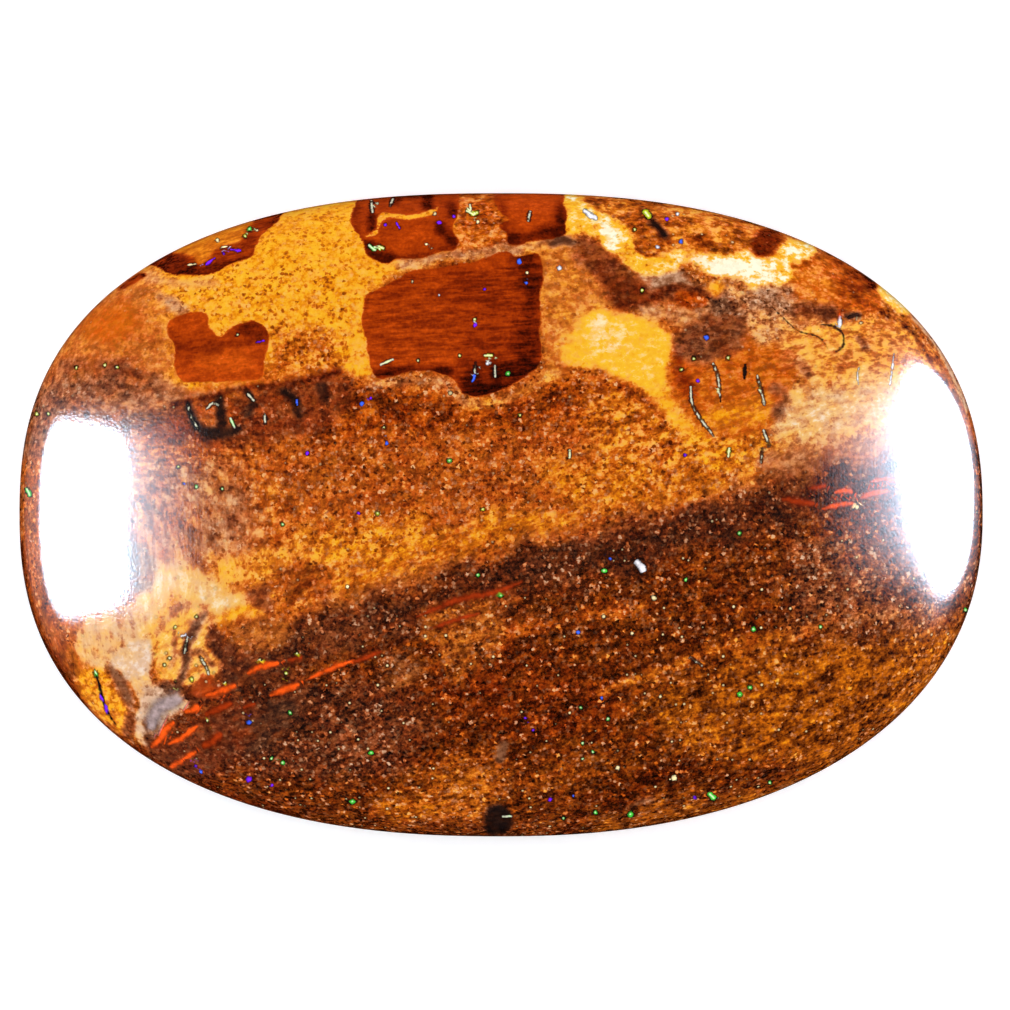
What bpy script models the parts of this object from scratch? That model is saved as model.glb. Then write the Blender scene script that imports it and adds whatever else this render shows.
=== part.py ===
"""A polished oval cabochon of boulder opal: one stone, resting on its flat sawn back.

The stone lies along X with its dome up. The origin is the middle of the back face.
Lengths are in metres.
"""

import math

import bpy

# Driving dimensions
LENGTH = 0.0301
WIDTH = 0.0201
HEIGHT = 0.0056
GIRDLE_LOW = 0.00055
GIRDLE_HIGH = 0.00105
BEVEL_WIDTH = 0.00060

# The outline is a superellipse whose exponent is chosen for each quarter, because a hand-ground
# oval is fuller at some corners than at others. 2 would be a plain ellipse.
FULLNESS = {
    ("right", "far"): 2.42,
    ("left", "far"): 2.46,
    ("left", "near"): 2.36,
    ("right", "near"): 2.24,
}

# The dome's section is a superellipse too: over 2, it is flatter on top and rounder at the shoulder.
DOME_FULLNESS = 2.12

# How finely the surface is faceted
SEGMENTS = 128
DOME_RINGS = 25
BEVEL_RINGS = 4
BACK_RINGS = 3

# The polish follows hard and soft bands of ironstone, so the dome is faintly wavy:
# each swell has its height, the distance between its crests, and the way that it runs.
SWELLS = (
    (0.000030, 0.0170, math.radians(72)),
    (0.000018, 0.0093, math.radians(101)),
)

STONE_COLOUR = (0.36, 0.115, 0.016, 1.0)
STONE_ROUGHNESS = 0.12


def clear_scene():
    for thing in list(bpy.data.objects):
        bpy.data.objects.remove(thing)


def stone_material():
    material = bpy.data.materials.new("polished_ironstone")
    material.use_nodes = True
    shader = material.node_tree.nodes["Principled BSDF"]
    shader.inputs["Base Color"].default_value = STONE_COLOUR
    shader.inputs["Roughness"].default_value = STONE_ROUGHNESS
    shader.inputs["Metallic"].default_value = 0.0
    return material


def outline(turn):
    """The girdle's point at this turn round the oval, and the direction straight out of it there."""
    across, along = math.cos(turn), math.sin(turn)
    side = "right" if across >= 0 else "left"
    depth = "far" if along >= 0 else "near"
    power = FULLNESS[side, depth]
    reach = (abs(across) ** power + abs(along) ** power) ** (-1 / power)
    x = LENGTH / 2 * across * reach
    y = WIDTH / 2 * along * reach
    out_x = math.copysign(abs(across) ** (power - 1), across) / LENGTH
    out_y = math.copysign(abs(along) ** (power - 1), along) / WIDTH
    size = math.hypot(out_x, out_y)
    return x, y, out_x / size, out_y / size


def profile():
    """The stone's section from the top to the middle of the back, one row for each ring.

    A row is the share of the way out to the girdle, the inset from it, and the height.
    """
    rows = []
    rise = HEIGHT - GIRDLE_HIGH
    for ring in range(DOME_RINGS + 1):
        lean = math.pi / 2 * ring / DOME_RINGS
        share = math.sin(lean) ** (2 / DOME_FULLNESS)
        height = GIRDLE_HIGH + rise * max(math.cos(lean), 0.0) ** (2 / DOME_FULLNESS)
        rows.append((share, 0.0, height))
    for ring in range(BEVEL_RINGS + 1):
        lean = math.pi / 2 * ring / BEVEL_RINGS
        inset = BEVEL_WIDTH * (1 - math.cos(lean))
        height = GIRDLE_LOW * (1 - math.sin(lean))
        rows.append((1.0, inset, height))
    for ring in range(1, BACK_RINGS + 1):
        rows.append((1 - ring / BACK_RINGS, BEVEL_WIDTH, 0.0))
    return rows


def swell(x, y, height):
    """The polish's faint waves: full on top of the dome, and gone at the girdle."""
    hold = max(height - GIRDLE_HIGH, 0.0) / (HEIGHT - GIRDLE_HIGH)
    total = 0.0
    for size, spacing, way in SWELLS:
        run = x * math.cos(way) + y * math.sin(way)
        total += size * (math.sin(2 * math.pi * run / spacing) - 1) / 2
    return hold * total


def place(share, inset, height, turn):
    """The surface point on one ring of the profile, at this turn round the oval."""
    x, y, out_x, out_y = outline(turn)
    x = share * (x - inset * out_x)
    y = share * (y - inset * out_y)
    return x, y, height + swell(x, y, height)


def make_stone():
    """A ball of rings and segments, drawn ring by ring onto the cabochon's profile and outline."""
    rows = profile()
    rings = len(rows) - 1
    bpy.ops.mesh.primitive_uv_sphere_add(segments=SEGMENTS, ring_count=rings, radius=1.0)
    stone = bpy.context.object
    stone.name = "opal_stone"
    stone.data.name = "opal_stone"
    for vertex in stone.data.vertices:
        x, y, z = vertex.co
        ring = round(math.acos(max(-1.0, min(1.0, z))) / math.pi * rings)
        vertex.co = place(*rows[ring], math.atan2(y, x))
    stone.data.update()
    stone.data.shade_smooth()
    stone.data.set_sharp_from_angle(angle=math.radians(40))
    stone.data.materials.append(stone_material())
    return stone


def main():
    clear_scene()
    collection = bpy.data.collections.new("boulder_opal")
    bpy.context.scene.collection.children.link(collection)
    stone = make_stone()
    for holder in list(stone.users_collection):
        holder.objects.unlink(stone)
    collection.objects.link(stone)


main()
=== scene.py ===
"""The looks of a polished boulder opal cabochon: ironstone matrix with thin opal in its cracks.

The stone is one piece. Its markings are drawn on a chart of its top, seen from straight above,
with 32 chart units to a millimetre, so that one unit is one pixel of the photograph.
"""

import math
from typing import NamedTuple

import bpy
import numpy as np
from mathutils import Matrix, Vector, noise


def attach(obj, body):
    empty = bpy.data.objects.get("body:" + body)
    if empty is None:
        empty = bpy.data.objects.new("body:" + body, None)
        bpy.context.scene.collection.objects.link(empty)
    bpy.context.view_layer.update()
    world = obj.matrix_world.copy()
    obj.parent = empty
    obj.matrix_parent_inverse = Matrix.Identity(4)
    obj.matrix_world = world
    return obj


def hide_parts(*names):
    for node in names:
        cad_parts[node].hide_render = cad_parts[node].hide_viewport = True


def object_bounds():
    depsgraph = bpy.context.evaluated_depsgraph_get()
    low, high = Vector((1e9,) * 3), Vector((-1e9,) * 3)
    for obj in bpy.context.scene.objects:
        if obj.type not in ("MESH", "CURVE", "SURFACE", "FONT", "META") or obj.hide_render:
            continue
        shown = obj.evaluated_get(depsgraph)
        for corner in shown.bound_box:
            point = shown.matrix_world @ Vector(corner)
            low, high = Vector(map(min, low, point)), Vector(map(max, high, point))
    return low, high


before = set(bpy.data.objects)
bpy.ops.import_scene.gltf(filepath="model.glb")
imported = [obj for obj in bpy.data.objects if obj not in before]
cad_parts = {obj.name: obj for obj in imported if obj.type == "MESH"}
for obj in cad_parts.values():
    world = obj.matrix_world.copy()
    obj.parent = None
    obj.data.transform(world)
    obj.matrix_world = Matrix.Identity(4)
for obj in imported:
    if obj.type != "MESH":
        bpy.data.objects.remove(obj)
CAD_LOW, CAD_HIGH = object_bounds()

bl_info = {
    "name": "Boulder Opal Cabochon",
    "version": (1, 0, 0),
    "blender": (4, 5, 0),
    "location": "3D View > Sidebar > Boulder Opal",
    "description": "A polished cabochon of ironstone with opal in its cracks, and its studio",
    "category": "Add Mesh",
}

STONE_NODE = "opal_stone"

# The chart of the stone's top: x runs right and y runs down
CHART_PER_METRE = 32000.0
CHART_MIDDLE = (501.1, 514.8)
PICTURE_MIDDLE = (505.0, 505.0)
PICTURE_WIDTH = 1010.0

# How finely the stone's surface is divided
RIM_POINTS = 1200
FILL_SPAN = 360
FILL_OFFSET = -188
BEVEL_STEPS = 5
CURVE_STEPS = 5

# The share of the way out over which the dome's rows crowd together, where it turns down
ROW_CROWDING = 0.08

# The surface is sharp where it turns by more than this
SHARP_FROM = math.radians(40)

# The outline's fullness in each quarter: 2 would be a plain ellipse
FULLNESS = {
    ("right", "far"): 2.42,
    ("left", "far"): 2.46,
    ("left", "near"): 2.36,
    ("right", "near"): 2.24,
}

# The polish's faint waves: height, distance between crests, and the way that they run
SWELLS = (
    (0.000030, 0.0170, math.radians(72)),
    (0.000018, 0.0093, math.radians(101)),
)

# The bedding rises to the right in a shallow curve. This is where its dark seam crosses the chart,
# and how much of that rise is left well above the seam.
SEAM_X, SEAM_Y, SEAM_RISE, SEAM_BEND = 500.0, 580.0, 0.325, 0.00021
FLAT_BEDDING = 0.12
FLAT_ABOVE, STEEP_ABOVE = 250.0, 60.0


def display_colour(name, description, red, green, blue):
    """A colour property, given from 0 to 255 as a screen shows it."""
    return bpy.props.FloatVectorProperty(
        name=name, description=description, default=(red / 255, green / 255, blue / 255),
        subtype="COLOR_GAMMA", size=3, min=0, max=1,
    )


def length(name, description, default):
    return bpy.props.FloatProperty(name=name, description=description, default=default, unit="LENGTH")


class OpalShape(bpy.types.PropertyGroup):
    """The cabochon's sizes."""

    length: length("Length", "Across the girdle, the long way", CAD_HIGH.x - CAD_LOW.x)
    width: length("Width", "Across the girdle, the short way", CAD_HIGH.y - CAD_LOW.y)
    height: length("Height", "From the back to the top of the dome, before its waves", 0.0056)
    girdle_low: length("Girdle's lower edge", "Height at which the bevel starts", 0.00055)
    girdle_high: length("Girdle's upper edge", "Height at which the dome starts", 0.00105)
    bevel: length("Bevel", "How far the back lies inside the girdle", 0.0006)
    dome_fullness: bpy.props.FloatProperty(
        name="Dome's fullness", description="Over 2 it is flatter on top", default=2.12
    )


class OpalColours(bpy.types.PropertyGroup):
    """Three kinds of ironstone, each from its darkest grains to its palest, and the opal in it."""

    ochre_0: display_colour("Ochre, darkest", "Pores in the yellow ironstone", 16, 4, 0)
    ochre_1: display_colour("Ochre, dark", "Shaded grains", 62, 20, 1)
    ochre_2: display_colour("Ochre, brown", "Brown grains", 112, 48, 5)
    ochre_3: display_colour("Ochre, orange", "Orange grains", 160, 76, 8)
    ochre_4: display_colour("Ochre, light", "Light orange grains", 207, 106, 12)
    ochre_5: display_colour("Ochre, golden", "Golden ground", 241, 146, 10)
    ochre_6: display_colour("Ochre, yellow", "Yellow grains", 252, 194, 44)
    ochre_7: display_colour("Ochre, palest", "Cream in the yellow hollows", 255, 250, 220)
    rust_0: display_colour("Rust, darkest", "Pores in the red ironstone", 16, 3, 0)
    rust_1: display_colour("Rust, dark", "Shaded red-brown", 78, 14, 0)
    rust_2: display_colour("Rust, brown", "Red-brown ground", 135, 36, 2)
    rust_3: display_colour("Rust, orange", "Burnt orange", 180, 60, 4)
    rust_4: display_colour("Rust, light", "Flame red", 228, 84, 12)
    rust_5: display_colour("Rust, palest", "Palest grains", 255, 196, 130)
    ash_0: display_colour("Ash, darkest", "Blackish clay", 20, 12, 12)
    ash_1: display_colour("Ash, dark", "Purple-brown clay", 50, 27, 18)
    ash_2: display_colour("Ash, brown", "Grey-brown grains", 98, 54, 32)
    ash_3: display_colour("Ash, tan", "Tan clay", 146, 92, 60)
    ash_4: display_colour("Ash, pale", "Pinkish clay", 194, 142, 108)
    ash_5: display_colour("Ash, whitish", "Whitish clay", 230, 188, 154)
    ash_6: display_colour("Ash, palest", "White clay", 254, 242, 232)
    ember: display_colour("Ember streaks", "Dull red streaks in the bedding", 146, 44, 8)
    flame: display_colour("Flame streaks", "Bright orange-red streaks in the bedding", 222, 78, 16)
    green: display_colour("Green fire", "Opal that flashes green", 72, 200, 60)
    lime: display_colour("Lime fire", "Opal that flashes yellow-green", 196, 206, 30)
    violet: display_colour("Violet fire", "Opal that flashes violet", 124, 34, 250)
    blue: display_colour("Blue fire", "Opal that flashes blue", 66, 104, 250)
    cream: display_colour("Cream grains", "Large pale sand grains", 255, 232, 172)
    milk: display_colour("Milky opal", "Large white flecks", 236, 232, 240)
    lilac: display_colour("Lilac clay", "Grey-lilac clay", 156, 134, 132)
    silver: display_colour("Silver opal", "Milky opal in the thin cracks", 84, 74, 54)


class OpalFinish(bpy.types.PropertyGroup):
    """The polish."""

    roughness: bpy.props.FloatProperty(name="Matrix roughness", description="Under the gloss", default=0.3)
    gloss_roughness: bpy.props.FloatProperty(
        name="Gloss roughness", description="Of the polish", default=0.045
    )
    sheen_lift: bpy.props.FloatProperty(name="Matrix shine", description="Shine of the matrix", default=0.01)
    texture_height: length("Polish texture", "How far the sand grains stand out in the polish", 0.0000024)


class OpalStudio(bpy.types.PropertyGroup):
    """The camera and the lights."""

    camera_height: length("Camera height", "Above the girdle", 0.4)
    softbox_distance: length("Softbox distance", "From the stone to each softbox", 0.3)
    softbox_strength: bpy.props.FloatProperty(name="Softbox strength", description="Radiance", default=45.0)
    surround: bpy.props.FloatProperty(name="Surround", description="Even light from all round", default=1.05)


def smooth_line(points, closed):
    """A curve through the points, as a longer list of points."""
    count = len(points)
    spans = count if closed else count - 1
    if closed:
        around = [points[(i - 1) % count] for i in range(count + 3)]
    else:
        around = [points[0], *points, points[-1]]
    line = []
    for i in range(spans):
        before, start, end, after = (np.array(p, float) for p in around[i : i + 4])
        for step in range(CURVE_STEPS):
            t = step / CURVE_STEPS
            line.append(
                0.5 * (2 * start + (end - before) * t + (2 * before - 5 * start + 4 * end - after) * t**2
                       + (3 * start - before - 3 * end + after) * t**3)
            )
    line.append(np.array(points[0] if closed else points[-1], float))
    return line


def distance_to(line, x, y):
    """How far each place on the chart lies from the line."""
    nearest = np.full(x.shape, np.inf)
    for start, end in zip(line[:-1], line[1:]):
        run = end - start
        share = np.clip(((x - start[0]) * run[0] + (y - start[1]) * run[1]) / max(run @ run, 1e-9), 0, 1)
        gap = (x - start[0] - share * run[0]) ** 2 + (y - start[1] - share * run[1]) ** 2
        nearest = np.minimum(nearest, gap)
    return np.sqrt(nearest)


def is_within(ring, x, y):
    """Whether each place on the chart lies within the closed ring."""
    crossings = np.zeros(x.shape, int)
    for start, end in zip(ring[:-1], ring[1:]):
        spans = (start[1] > y) != (end[1] > y)
        if start[1] != end[1]:
            crossing = start[0] + (y - start[1]) / (end[1] - start[1]) * (end[0] - start[0])
            crossings += spans & (x < crossing)
    return crossings % 2 == 1


def depth_inside(outline, x, y):
    """How far inside the outline each place is, in chart units, and below 0 outside it."""
    ring = smooth_line(outline, closed=True)
    gap = distance_to(ring, x, y)
    return np.where(is_within(ring, x, y), gap, -gap)


def smoothstep(low, high, value):
    share = np.clip((value - low) / (high - low), 0, 1)
    return share * share * (3 - 2 * share)


class Look(NamedTuple):
    """The ironstone: how light, red, grey, sandy, mottled and striped it is, and how much it sparkles."""

    tone: float = None
    rust: float = None
    ash: float = None
    grain: float = None
    mottle: float = None
    stripe: float = None
    sparkle: float = None


class Area(NamedTuple):
    """A marking: its outline or, with a half width, its line; how softly and unevenly it ends."""

    points: tuple
    look: Look
    soft: float = 12
    uneven: float = 10
    half_width: float = None
    cover: float = 1.0


# The roughness by which the markings' edges stray: its size, its strength and its level in the noise
UNEVENNESS = ((34.0, 1.0, 0), (9.0, 0.6, 7))

BASE = Look(tone=0.50, rust=0.3, ash=0.06, grain=0.9, mottle=0.8, stripe=0.3, sparkle=0.3)
BACK = Look(tone=0.34, rust=0.45, ash=0.25, grain=0.7, mottle=0.8, stripe=0.8, sparkle=0.2)

MIDDLE_AREAS = (
    Area(((0, 770), (150, 750), (200, 705), (340, 645), (500, 592), (680, 540), (890, 490), (1010, 470),
          (1010, 900), (0, 900)), Look(0.26, 0.2, 0.03, 0.95, 1.1, 0.7, 1.0), soft=22, uneven=16),
    Area(((130, 440), (200, 432), (330, 440), (400, 470), (380, 530), (300, 570), (200, 580), (150, 560)),
         Look(0.55, 0.3, 0.03, 0.8, 1.0, 1.6), soft=24, uneven=20),
    Area(((130, 450), (235, 478), (260, 535), (205, 570), (150, 570)), Look(0.57, 0.35, 0.5, 0.6, 0.9, 1.7),
         soft=16, uneven=16),
    Area(((300, 430), (560, 400), (640, 430), (600, 500), (480, 520), (330, 540), (290, 500)),
         Look(0.49, 0.35, 0.05, 0.95, 0.7, 0.3), soft=26, uneven=22),
    Area(((300, 590), (360, 562), (440, 530), (520, 512), (600, 515), (560, 540), (440, 566), (350, 604)),
         Look(0.66, 0.10, 0.0, 0.55, 0.9, 0.7), soft=14, uneven=18),
    Area(((300, 545), (340, 520), (410, 516), (425, 538), (370, 560), (310, 566)),
         Look(tone=0.68, rust=0.08, ash=0.0), soft=12, uneven=14),
    Area(((460, 548), (520, 538), (515, 560), (455, 568)), Look(tone=0.48), soft=12, uneven=12),
    Area(((540, 466), (590, 455), (630, 470), (600, 494), (550, 492)), Look(tone=0.62, rust=0.1, ash=0.0),
         soft=14, uneven=18),
    Area(((600, 440), (700, 450), (760, 470), (740, 500), (650, 520), (590, 510)),
         Look(0.62, 0.15, 0.0, 0.8, 0.9, 0.4), soft=18, uneven=20),
    Area(((300, 395), (380, 385), (450, 402), (520, 402), (560, 378), (620, 384), (650, 410), (560, 425),
          (450, 430), (360, 440), (300, 430)), Look(0.39, 0.42, 0.0, 0.9, 1.6, 0.3), soft=12, uneven=16),
    Area(((150, 430), (190, 405), (250, 392), (338, 376), (352, 400), (320, 430), (250, 444), (180, 446)),
         Look(0.33, 0.55, 0.2, 0.6, 0.8, 0.3), soft=8, uneven=8),
)

UPPER_AREAS = (
    Area(((60, 410), (60, 350), (110, 290), (165, 240), (290, 190), (460, 170), (575, 180), (580, 240),
          (545, 256), (480, 262), (412, 272), (372, 300), (376, 374), (338, 374), (250, 386), (180, 402),
          (110, 412)), Look(0.83, 0.0, 0.0, 0.58, 0.5, 0.1, 0.0), soft=5, uneven=7),
    Area(((150, 300), (200, 270), (300, 262), (345, 280), (350, 330), (280, 320), (180, 310)),
         Look(tone=0.83, grain=0.85, mottle=0.5), soft=20, uneven=20),
    Area(((40, 410), (60, 340), (120, 280), (160, 290), (172, 335), (178, 372), (110, 402)),
         Look(0.60, 0.25, 0.12, 0.3, 0.8, 0.1, 0.2), soft=20, uneven=16),
    Area(((20, 450), (40, 390), (90, 372), (150, 380), (190, 402), (150, 430), (60, 450)),
         Look(0.44, 0.35, 0.6, 0.6, 1.1, 0.4, 0.4), soft=12, uneven=12),
    Area(((70, 368), (110, 366), (150, 378)), Look(tone=0.34, rust=0.5, ash=0.5), soft=8, uneven=8,
         half_width=5),
    Area(((80, 330), (115, 300), (140, 310), (150, 330), (110, 345)),
         Look(tone=0.57, rust=0.35, ash=0.0, grain=0.15, mottle=0.3), soft=12, uneven=10),
    Area(((100, 412), (180, 400), (260, 382), (335, 368)), Look(tone=0.60, rust=0.35, grain=0.3), soft=5,
         uneven=4, half_width=7),
    Area(((186, 398), (215, 394), (242, 388)), Look(tone=0.66, ash=0.8), soft=2.5, uneven=3, half_width=1.5),
    Area(((275, 340), (330, 336), (345, 366), (330, 372), (275, 378)),
         Look(tone=0.60, rust=0.25, grain=0.9, mottle=1.2), soft=14, uneven=14),
    Area(((148, 278), (180, 284), (214, 284)), Look(tone=0.76, ash=0.3, grain=0.3), soft=4, uneven=4,
         half_width=4),
    Area(((162, 296), (176, 306), (182, 310)), Look(tone=0.62, ash=0.7), soft=5, uneven=5, half_width=4),
    Area(((454, 186), (512, 186), (512, 246), (480, 257), (448, 259), (458, 235)),
         Look(0.55, 0.45, 0.0, 0.6, 1.6, 0.1, 0.3), soft=4, uneven=8),
    Area(((404, 266), (440, 258), (480, 256), (520, 249), (560, 244), (600, 262)),
         Look(0.67, 0.1, 0.5, 0.5, 0.9, 0.1, 0.3), soft=4, uneven=5, half_width=5),
    Area(((540, 255), (585, 250), (606, 268), (604, 310), (590, 345), (560, 372), (541, 355)),
         Look(0.63, 0.15, 0.10, 0.35, 0.8, 0.1, 0.2), soft=6, uneven=8),
    Area(((548, 300), (575, 310), (590, 330), (560, 352), (545, 345)), Look(tone=0.69, ash=0.1), soft=12,
         uneven=10),
    Area(((572, 335), (600, 312), (640, 315), (668, 328), (676, 350), (664, 380), (684, 415), (722, 452),
          (705, 466), (672, 430), (642, 396), (608, 376), (576, 370), (562, 358)),
         Look(1.05, 0.0, 0.0, 0.3, 0.4, 0.0, 0.0), soft=6, uneven=8),
    Area(((588, 330), (612, 322), (622, 345), (600, 356)), Look(tone=1.2), soft=12, uneven=6),
    Area(((660, 395), (684, 420), (705, 440), (722, 452)), Look(tone=0.76), soft=8, uneven=8, half_width=6),
    Area(((600, 384), (640, 398), (672, 430), (705, 466), (640, 470), (600, 440), (580, 400)),
         Look(0.60, 0.25, 0.0, 0.9, 1.4, 0.1, 0.2), soft=10, uneven=16),
    Area(((560, 372), (600, 380), (640, 396), (660, 416)), Look(tone=0.50, rust=0.4), soft=6, uneven=8,
         half_width=5),
    Area(((600, 175), (700, 190), (800, 230), (800, 262), (760, 262), (700, 272), (665, 262), (640, 256),
          (625, 230), (600, 214), (585, 204)), Look(0.55, 0.3, 0.02, 0.5, 1.8, 0.1, 0.6), soft=4, uneven=6),
    Area(((578, 238), (600, 250), (618, 262), (640, 274), (665, 276), (700, 284), (712, 296), (700, 304),
          (670, 300), (640, 312), (612, 308), (598, 284), (575, 262)),
         Look(0.34, 0.45, 0.3, 0.3, 1.1, 0.1, 0.2), soft=7, uneven=9),
    Area(((640, 276), (672, 272), (702, 284), (690, 292), (650, 290)), Look(tone=0.56, ash=0.9), soft=7,
         uneven=7),
    Area(((566, 192), (600, 212), (626, 226), (636, 248), (655, 258), (682, 252), (676, 270), (640, 276),
          (612, 252), (590, 236), (570, 230)), Look(1.02, 0.0, 0.0, 0.5, 1.0, 0.0, 0.2), soft=4, uneven=5),
    Area(((602, 224), (612, 228), (620, 244), (612, 250), (602, 238)), Look(tone=1.5, grain=0.2), soft=4,
         uneven=4),
    Area(((566, 194), (582, 205), (600, 216), (618, 222)), Look(tone=1.2), soft=3, uneven=3, half_width=3),
    Area(((700, 285), (760, 282), (800, 290), (800, 330), (780, 350), (730, 346), (700, 320)),
         Look(0.71, 0.08, 0.40, 0.9, 1.2, 0.1, 0.3), soft=9, uneven=10),
    Area(((704, 292), (724, 294), (740, 312), (738, 348), (718, 352), (712, 322)),
         Look(tone=0.36, rust=0.2, ash=0.7), soft=7, uneven=8),
    Area(((745, 296), (775, 286), (800, 296), (790, 312), (755, 312)), Look(tone=0.50, ash=0.75), soft=7,
         uneven=8),
    Area(((636, 316), (640, 304), (672, 310), (706, 306), (710, 322), (690, 328), (660, 324)),
         Look(0.66, 0.1, 0.5, 0.4, 0.9, 0.1, 0.2), soft=7, uneven=8),
    Area(((596, 262), (604, 272), (612, 278), (630, 278), (641, 286), (645, 296), (640, 308), (626, 312),
          (613, 306), (606, 292), (598, 280)), Look(0.26, 0.55, 0.2, 0.3, 0.8, 0.1), soft=4, uneven=5),
    Area(((674, 293), (690, 291), (704, 297), (706, 306), (692, 311), (678, 307)),
         Look(tone=0.38, rust=0.65, ash=0.0), soft=3, uneven=4),
    Area(((640, 304), (652, 299), (664, 292), (676, 289), (690, 289), (704, 295), (714, 304)),
         Look(tone=0.22, rust=0.6, ash=0.2), soft=3, uneven=4, half_width=3),
    Area(((634, 244), (639, 254), (652, 257), (661, 248), (657, 238)), Look(tone=0.26, rust=0.4), soft=2,
         uneven=2, half_width=1.5),
    Area(((716, 298), (722, 330), (728, 365), (731, 384)), Look(tone=0.28, rust=0.2, ash=0.8), soft=6,
         uneven=6, half_width=7),
    Area(((697, 258), (722, 264), (755, 248), (780, 244), (815, 235), (812, 262), (790, 282), (765, 288),
          (745, 290), (735, 276), (700, 272)), Look(1.2, 0.0, 0.0, 0.5, 1.2, 0.0, 0.0), soft=4, uneven=6),
    Area(((692, 258), (722, 260), (740, 268), (766, 262), (775, 270), (740, 277), (704, 275)),
         Look(tone=1.5, grain=0.3), soft=5, uneven=5),
    Area(((700, 262), (712, 268), (735, 271)), Look(tone=1.8, grain=0.2), soft=2.5, uneven=2, half_width=1.5),
    Area(((790, 250), (802, 262), (796, 276)), Look(tone=1.7, grain=0.2), soft=5, uneven=4, half_width=4),
    Area(((702, 290), (716, 281), (724, 290), (714, 300)), Look(0.84, 0.0, 0.0, 0.3, 0.5, 0.0, 0.0), soft=4,
         uneven=4),
    Area(((752, 238), (766, 230), (778, 236), (779, 250), (766, 258), (753, 252)),
         Look(0.24, 0.8, 0.0, 0.4, 0.6, 0.2), soft=4, uneven=5),
    Area(((795, 262), (830, 255), (860, 262), (885, 290), (870, 312), (830, 322), (795, 305)),
         Look(0.52, 0.5, 0.0, 0.3, 1.3, 0.1, 0.2), soft=8, uneven=10),
    Area(((828, 256), (848, 256), (864, 268), (870, 292), (852, 300), (838, 280)),
         Look(tone=0.36, rust=0.55), soft=8, uneven=8),
    Area(((796, 274), (820, 270), (834, 284), (836, 302), (810, 304), (796, 296)),
         Look(tone=0.66, rust=0.4, mottle=0.8), soft=7, uneven=8),
    Area(((794, 308), (830, 305), (842, 318), (836, 328), (815, 330), (796, 326)),
         Look(0.30, 0.4, 0.4, 0.4, 0.8, 0.2), soft=5, uneven=5),
    Area(((780, 330), (860, 320), (900, 340), (925, 400), (900, 400), (840, 392), (790, 370)),
         Look(0.80, 0.16, 0.12, 0.3, 1.5, 0.0, 0.2), soft=10, uneven=14),
    Area(((770, 392), (830, 380), (912, 385), (925, 440), (860, 440), (790, 452), (765, 440)),
         Look(0.96, 0.0, 0.5, 0.45, 1.1, 0.0, 0.1), soft=13, uneven=16),
    Area(((855, 440), (900, 430), (900, 462), (860, 466)), Look(tone=0.62, ash=0.6), soft=12, uneven=8),
    Area(((674, 333), (668, 357), (665, 376), (672, 392), (682, 412), (696, 428), (712, 438), (735, 444),
          (756, 436), (768, 424), (786, 396), (796, 378), (778, 352), (752, 340), (735, 320), (712, 316),
          (694, 322)), Look(0.55, 0.38, 0.0, 0.22, 0.8, 0.0, 0.2), soft=4, uneven=7),
    Area(((700, 420), (730, 432), (764, 420), (756, 400), (720, 405)), Look(tone=0.66, rust=0.05), soft=14,
         uneven=12),
    Area(((676, 333), (670, 350), (690, 362), (720, 356), (738, 345), (738, 326), (712, 315), (694, 322)),
         Look(0.33, 0.35, 0.5, 0.4, 1.0, 0.1, 0.2), soft=7, uneven=8),
    Area(((674, 356), (680, 376), (692, 396)), Look(tone=0.34, rust=0.8), soft=5, uneven=5, half_width=5),
    Area(((780, 354), (788, 352), (793, 360), (787, 369), (780, 366)), Look(tone=0.58, rust=0.4, ash=0.1),
         soft=4, uneven=6),
    Area(((830, 366), (838, 364), (842, 374), (834, 379)), Look(tone=0.44, rust=0.5, ash=0.2), soft=4,
         uneven=5),
    Area(((853, 340), (862, 337), (871, 346), (866, 353), (858, 350)), Look(tone=0.40, rust=0.3, ash=0.8),
         soft=3, uneven=5),
    Area(((774, 388), (784, 398), (778, 412)), Look(tone=0.32, ash=0.6), soft=5, uneven=5, half_width=5),
    Area(((798, 366), (806, 376)), Look(tone=0.44, ash=0.4), soft=4, uneven=4, half_width=4),
    Area(((690, 440), (740, 436), (790, 442), (785, 456), (740, 466), (700, 462)),
         Look(0.72, 0.08, 0.0, 0.7, 1.3, 0.1, 0.3), soft=9, uneven=10),
    Area(((762, 456), (790, 446), (820, 446), (860, 436), (925, 440), (925, 480), (860, 492), (800, 492),
          (768, 480)), Look(0.60, 0.2, 0.45, 0.3, 0.9, 0.2, 0.1), soft=9, uneven=12),
    Area(((874, 286), (886, 280), (900, 292), (914, 308), (905, 316), (890, 308)),
         Look(1.2, 0.0, 0.0, 0.4, 0.6), soft=3, uneven=4),
    Area(((896, 318), (920, 350), (940, 385)), Look(0.66, 0.1, 0.1, 0.5, 1.5), soft=5, uneven=6,
         half_width=7),
    Area(((903, 326), (925, 354)), Look(tone=0.9, rust=0.0), soft=2.5, uneven=4, half_width=1.5),
    Area(((880, 314), (900, 322), (918, 342), (930, 362)), Look(tone=0.26, rust=0.3), soft=2.5, uneven=4,
         half_width=1.8),
    Area(((934, 376), (944, 390)), Look(tone=0.32, rust=0.3), soft=4, uneven=4, half_width=4),
    Area(((950, 400), (962, 430), (968, 450)), Look(0.28, 0.2, 0.7, 0.4, 1.0), soft=4, uneven=4,
         half_width=4),
    # A pale pinkish line along the far right rim: a painted highlight where the rim catches the light.
    Area(((912, 318), (935, 345), (956, 385), (966, 410)), Look(tone=0.85, ash=1.0), soft=2, uneven=1.5,
         half_width=1.5),
)

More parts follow.
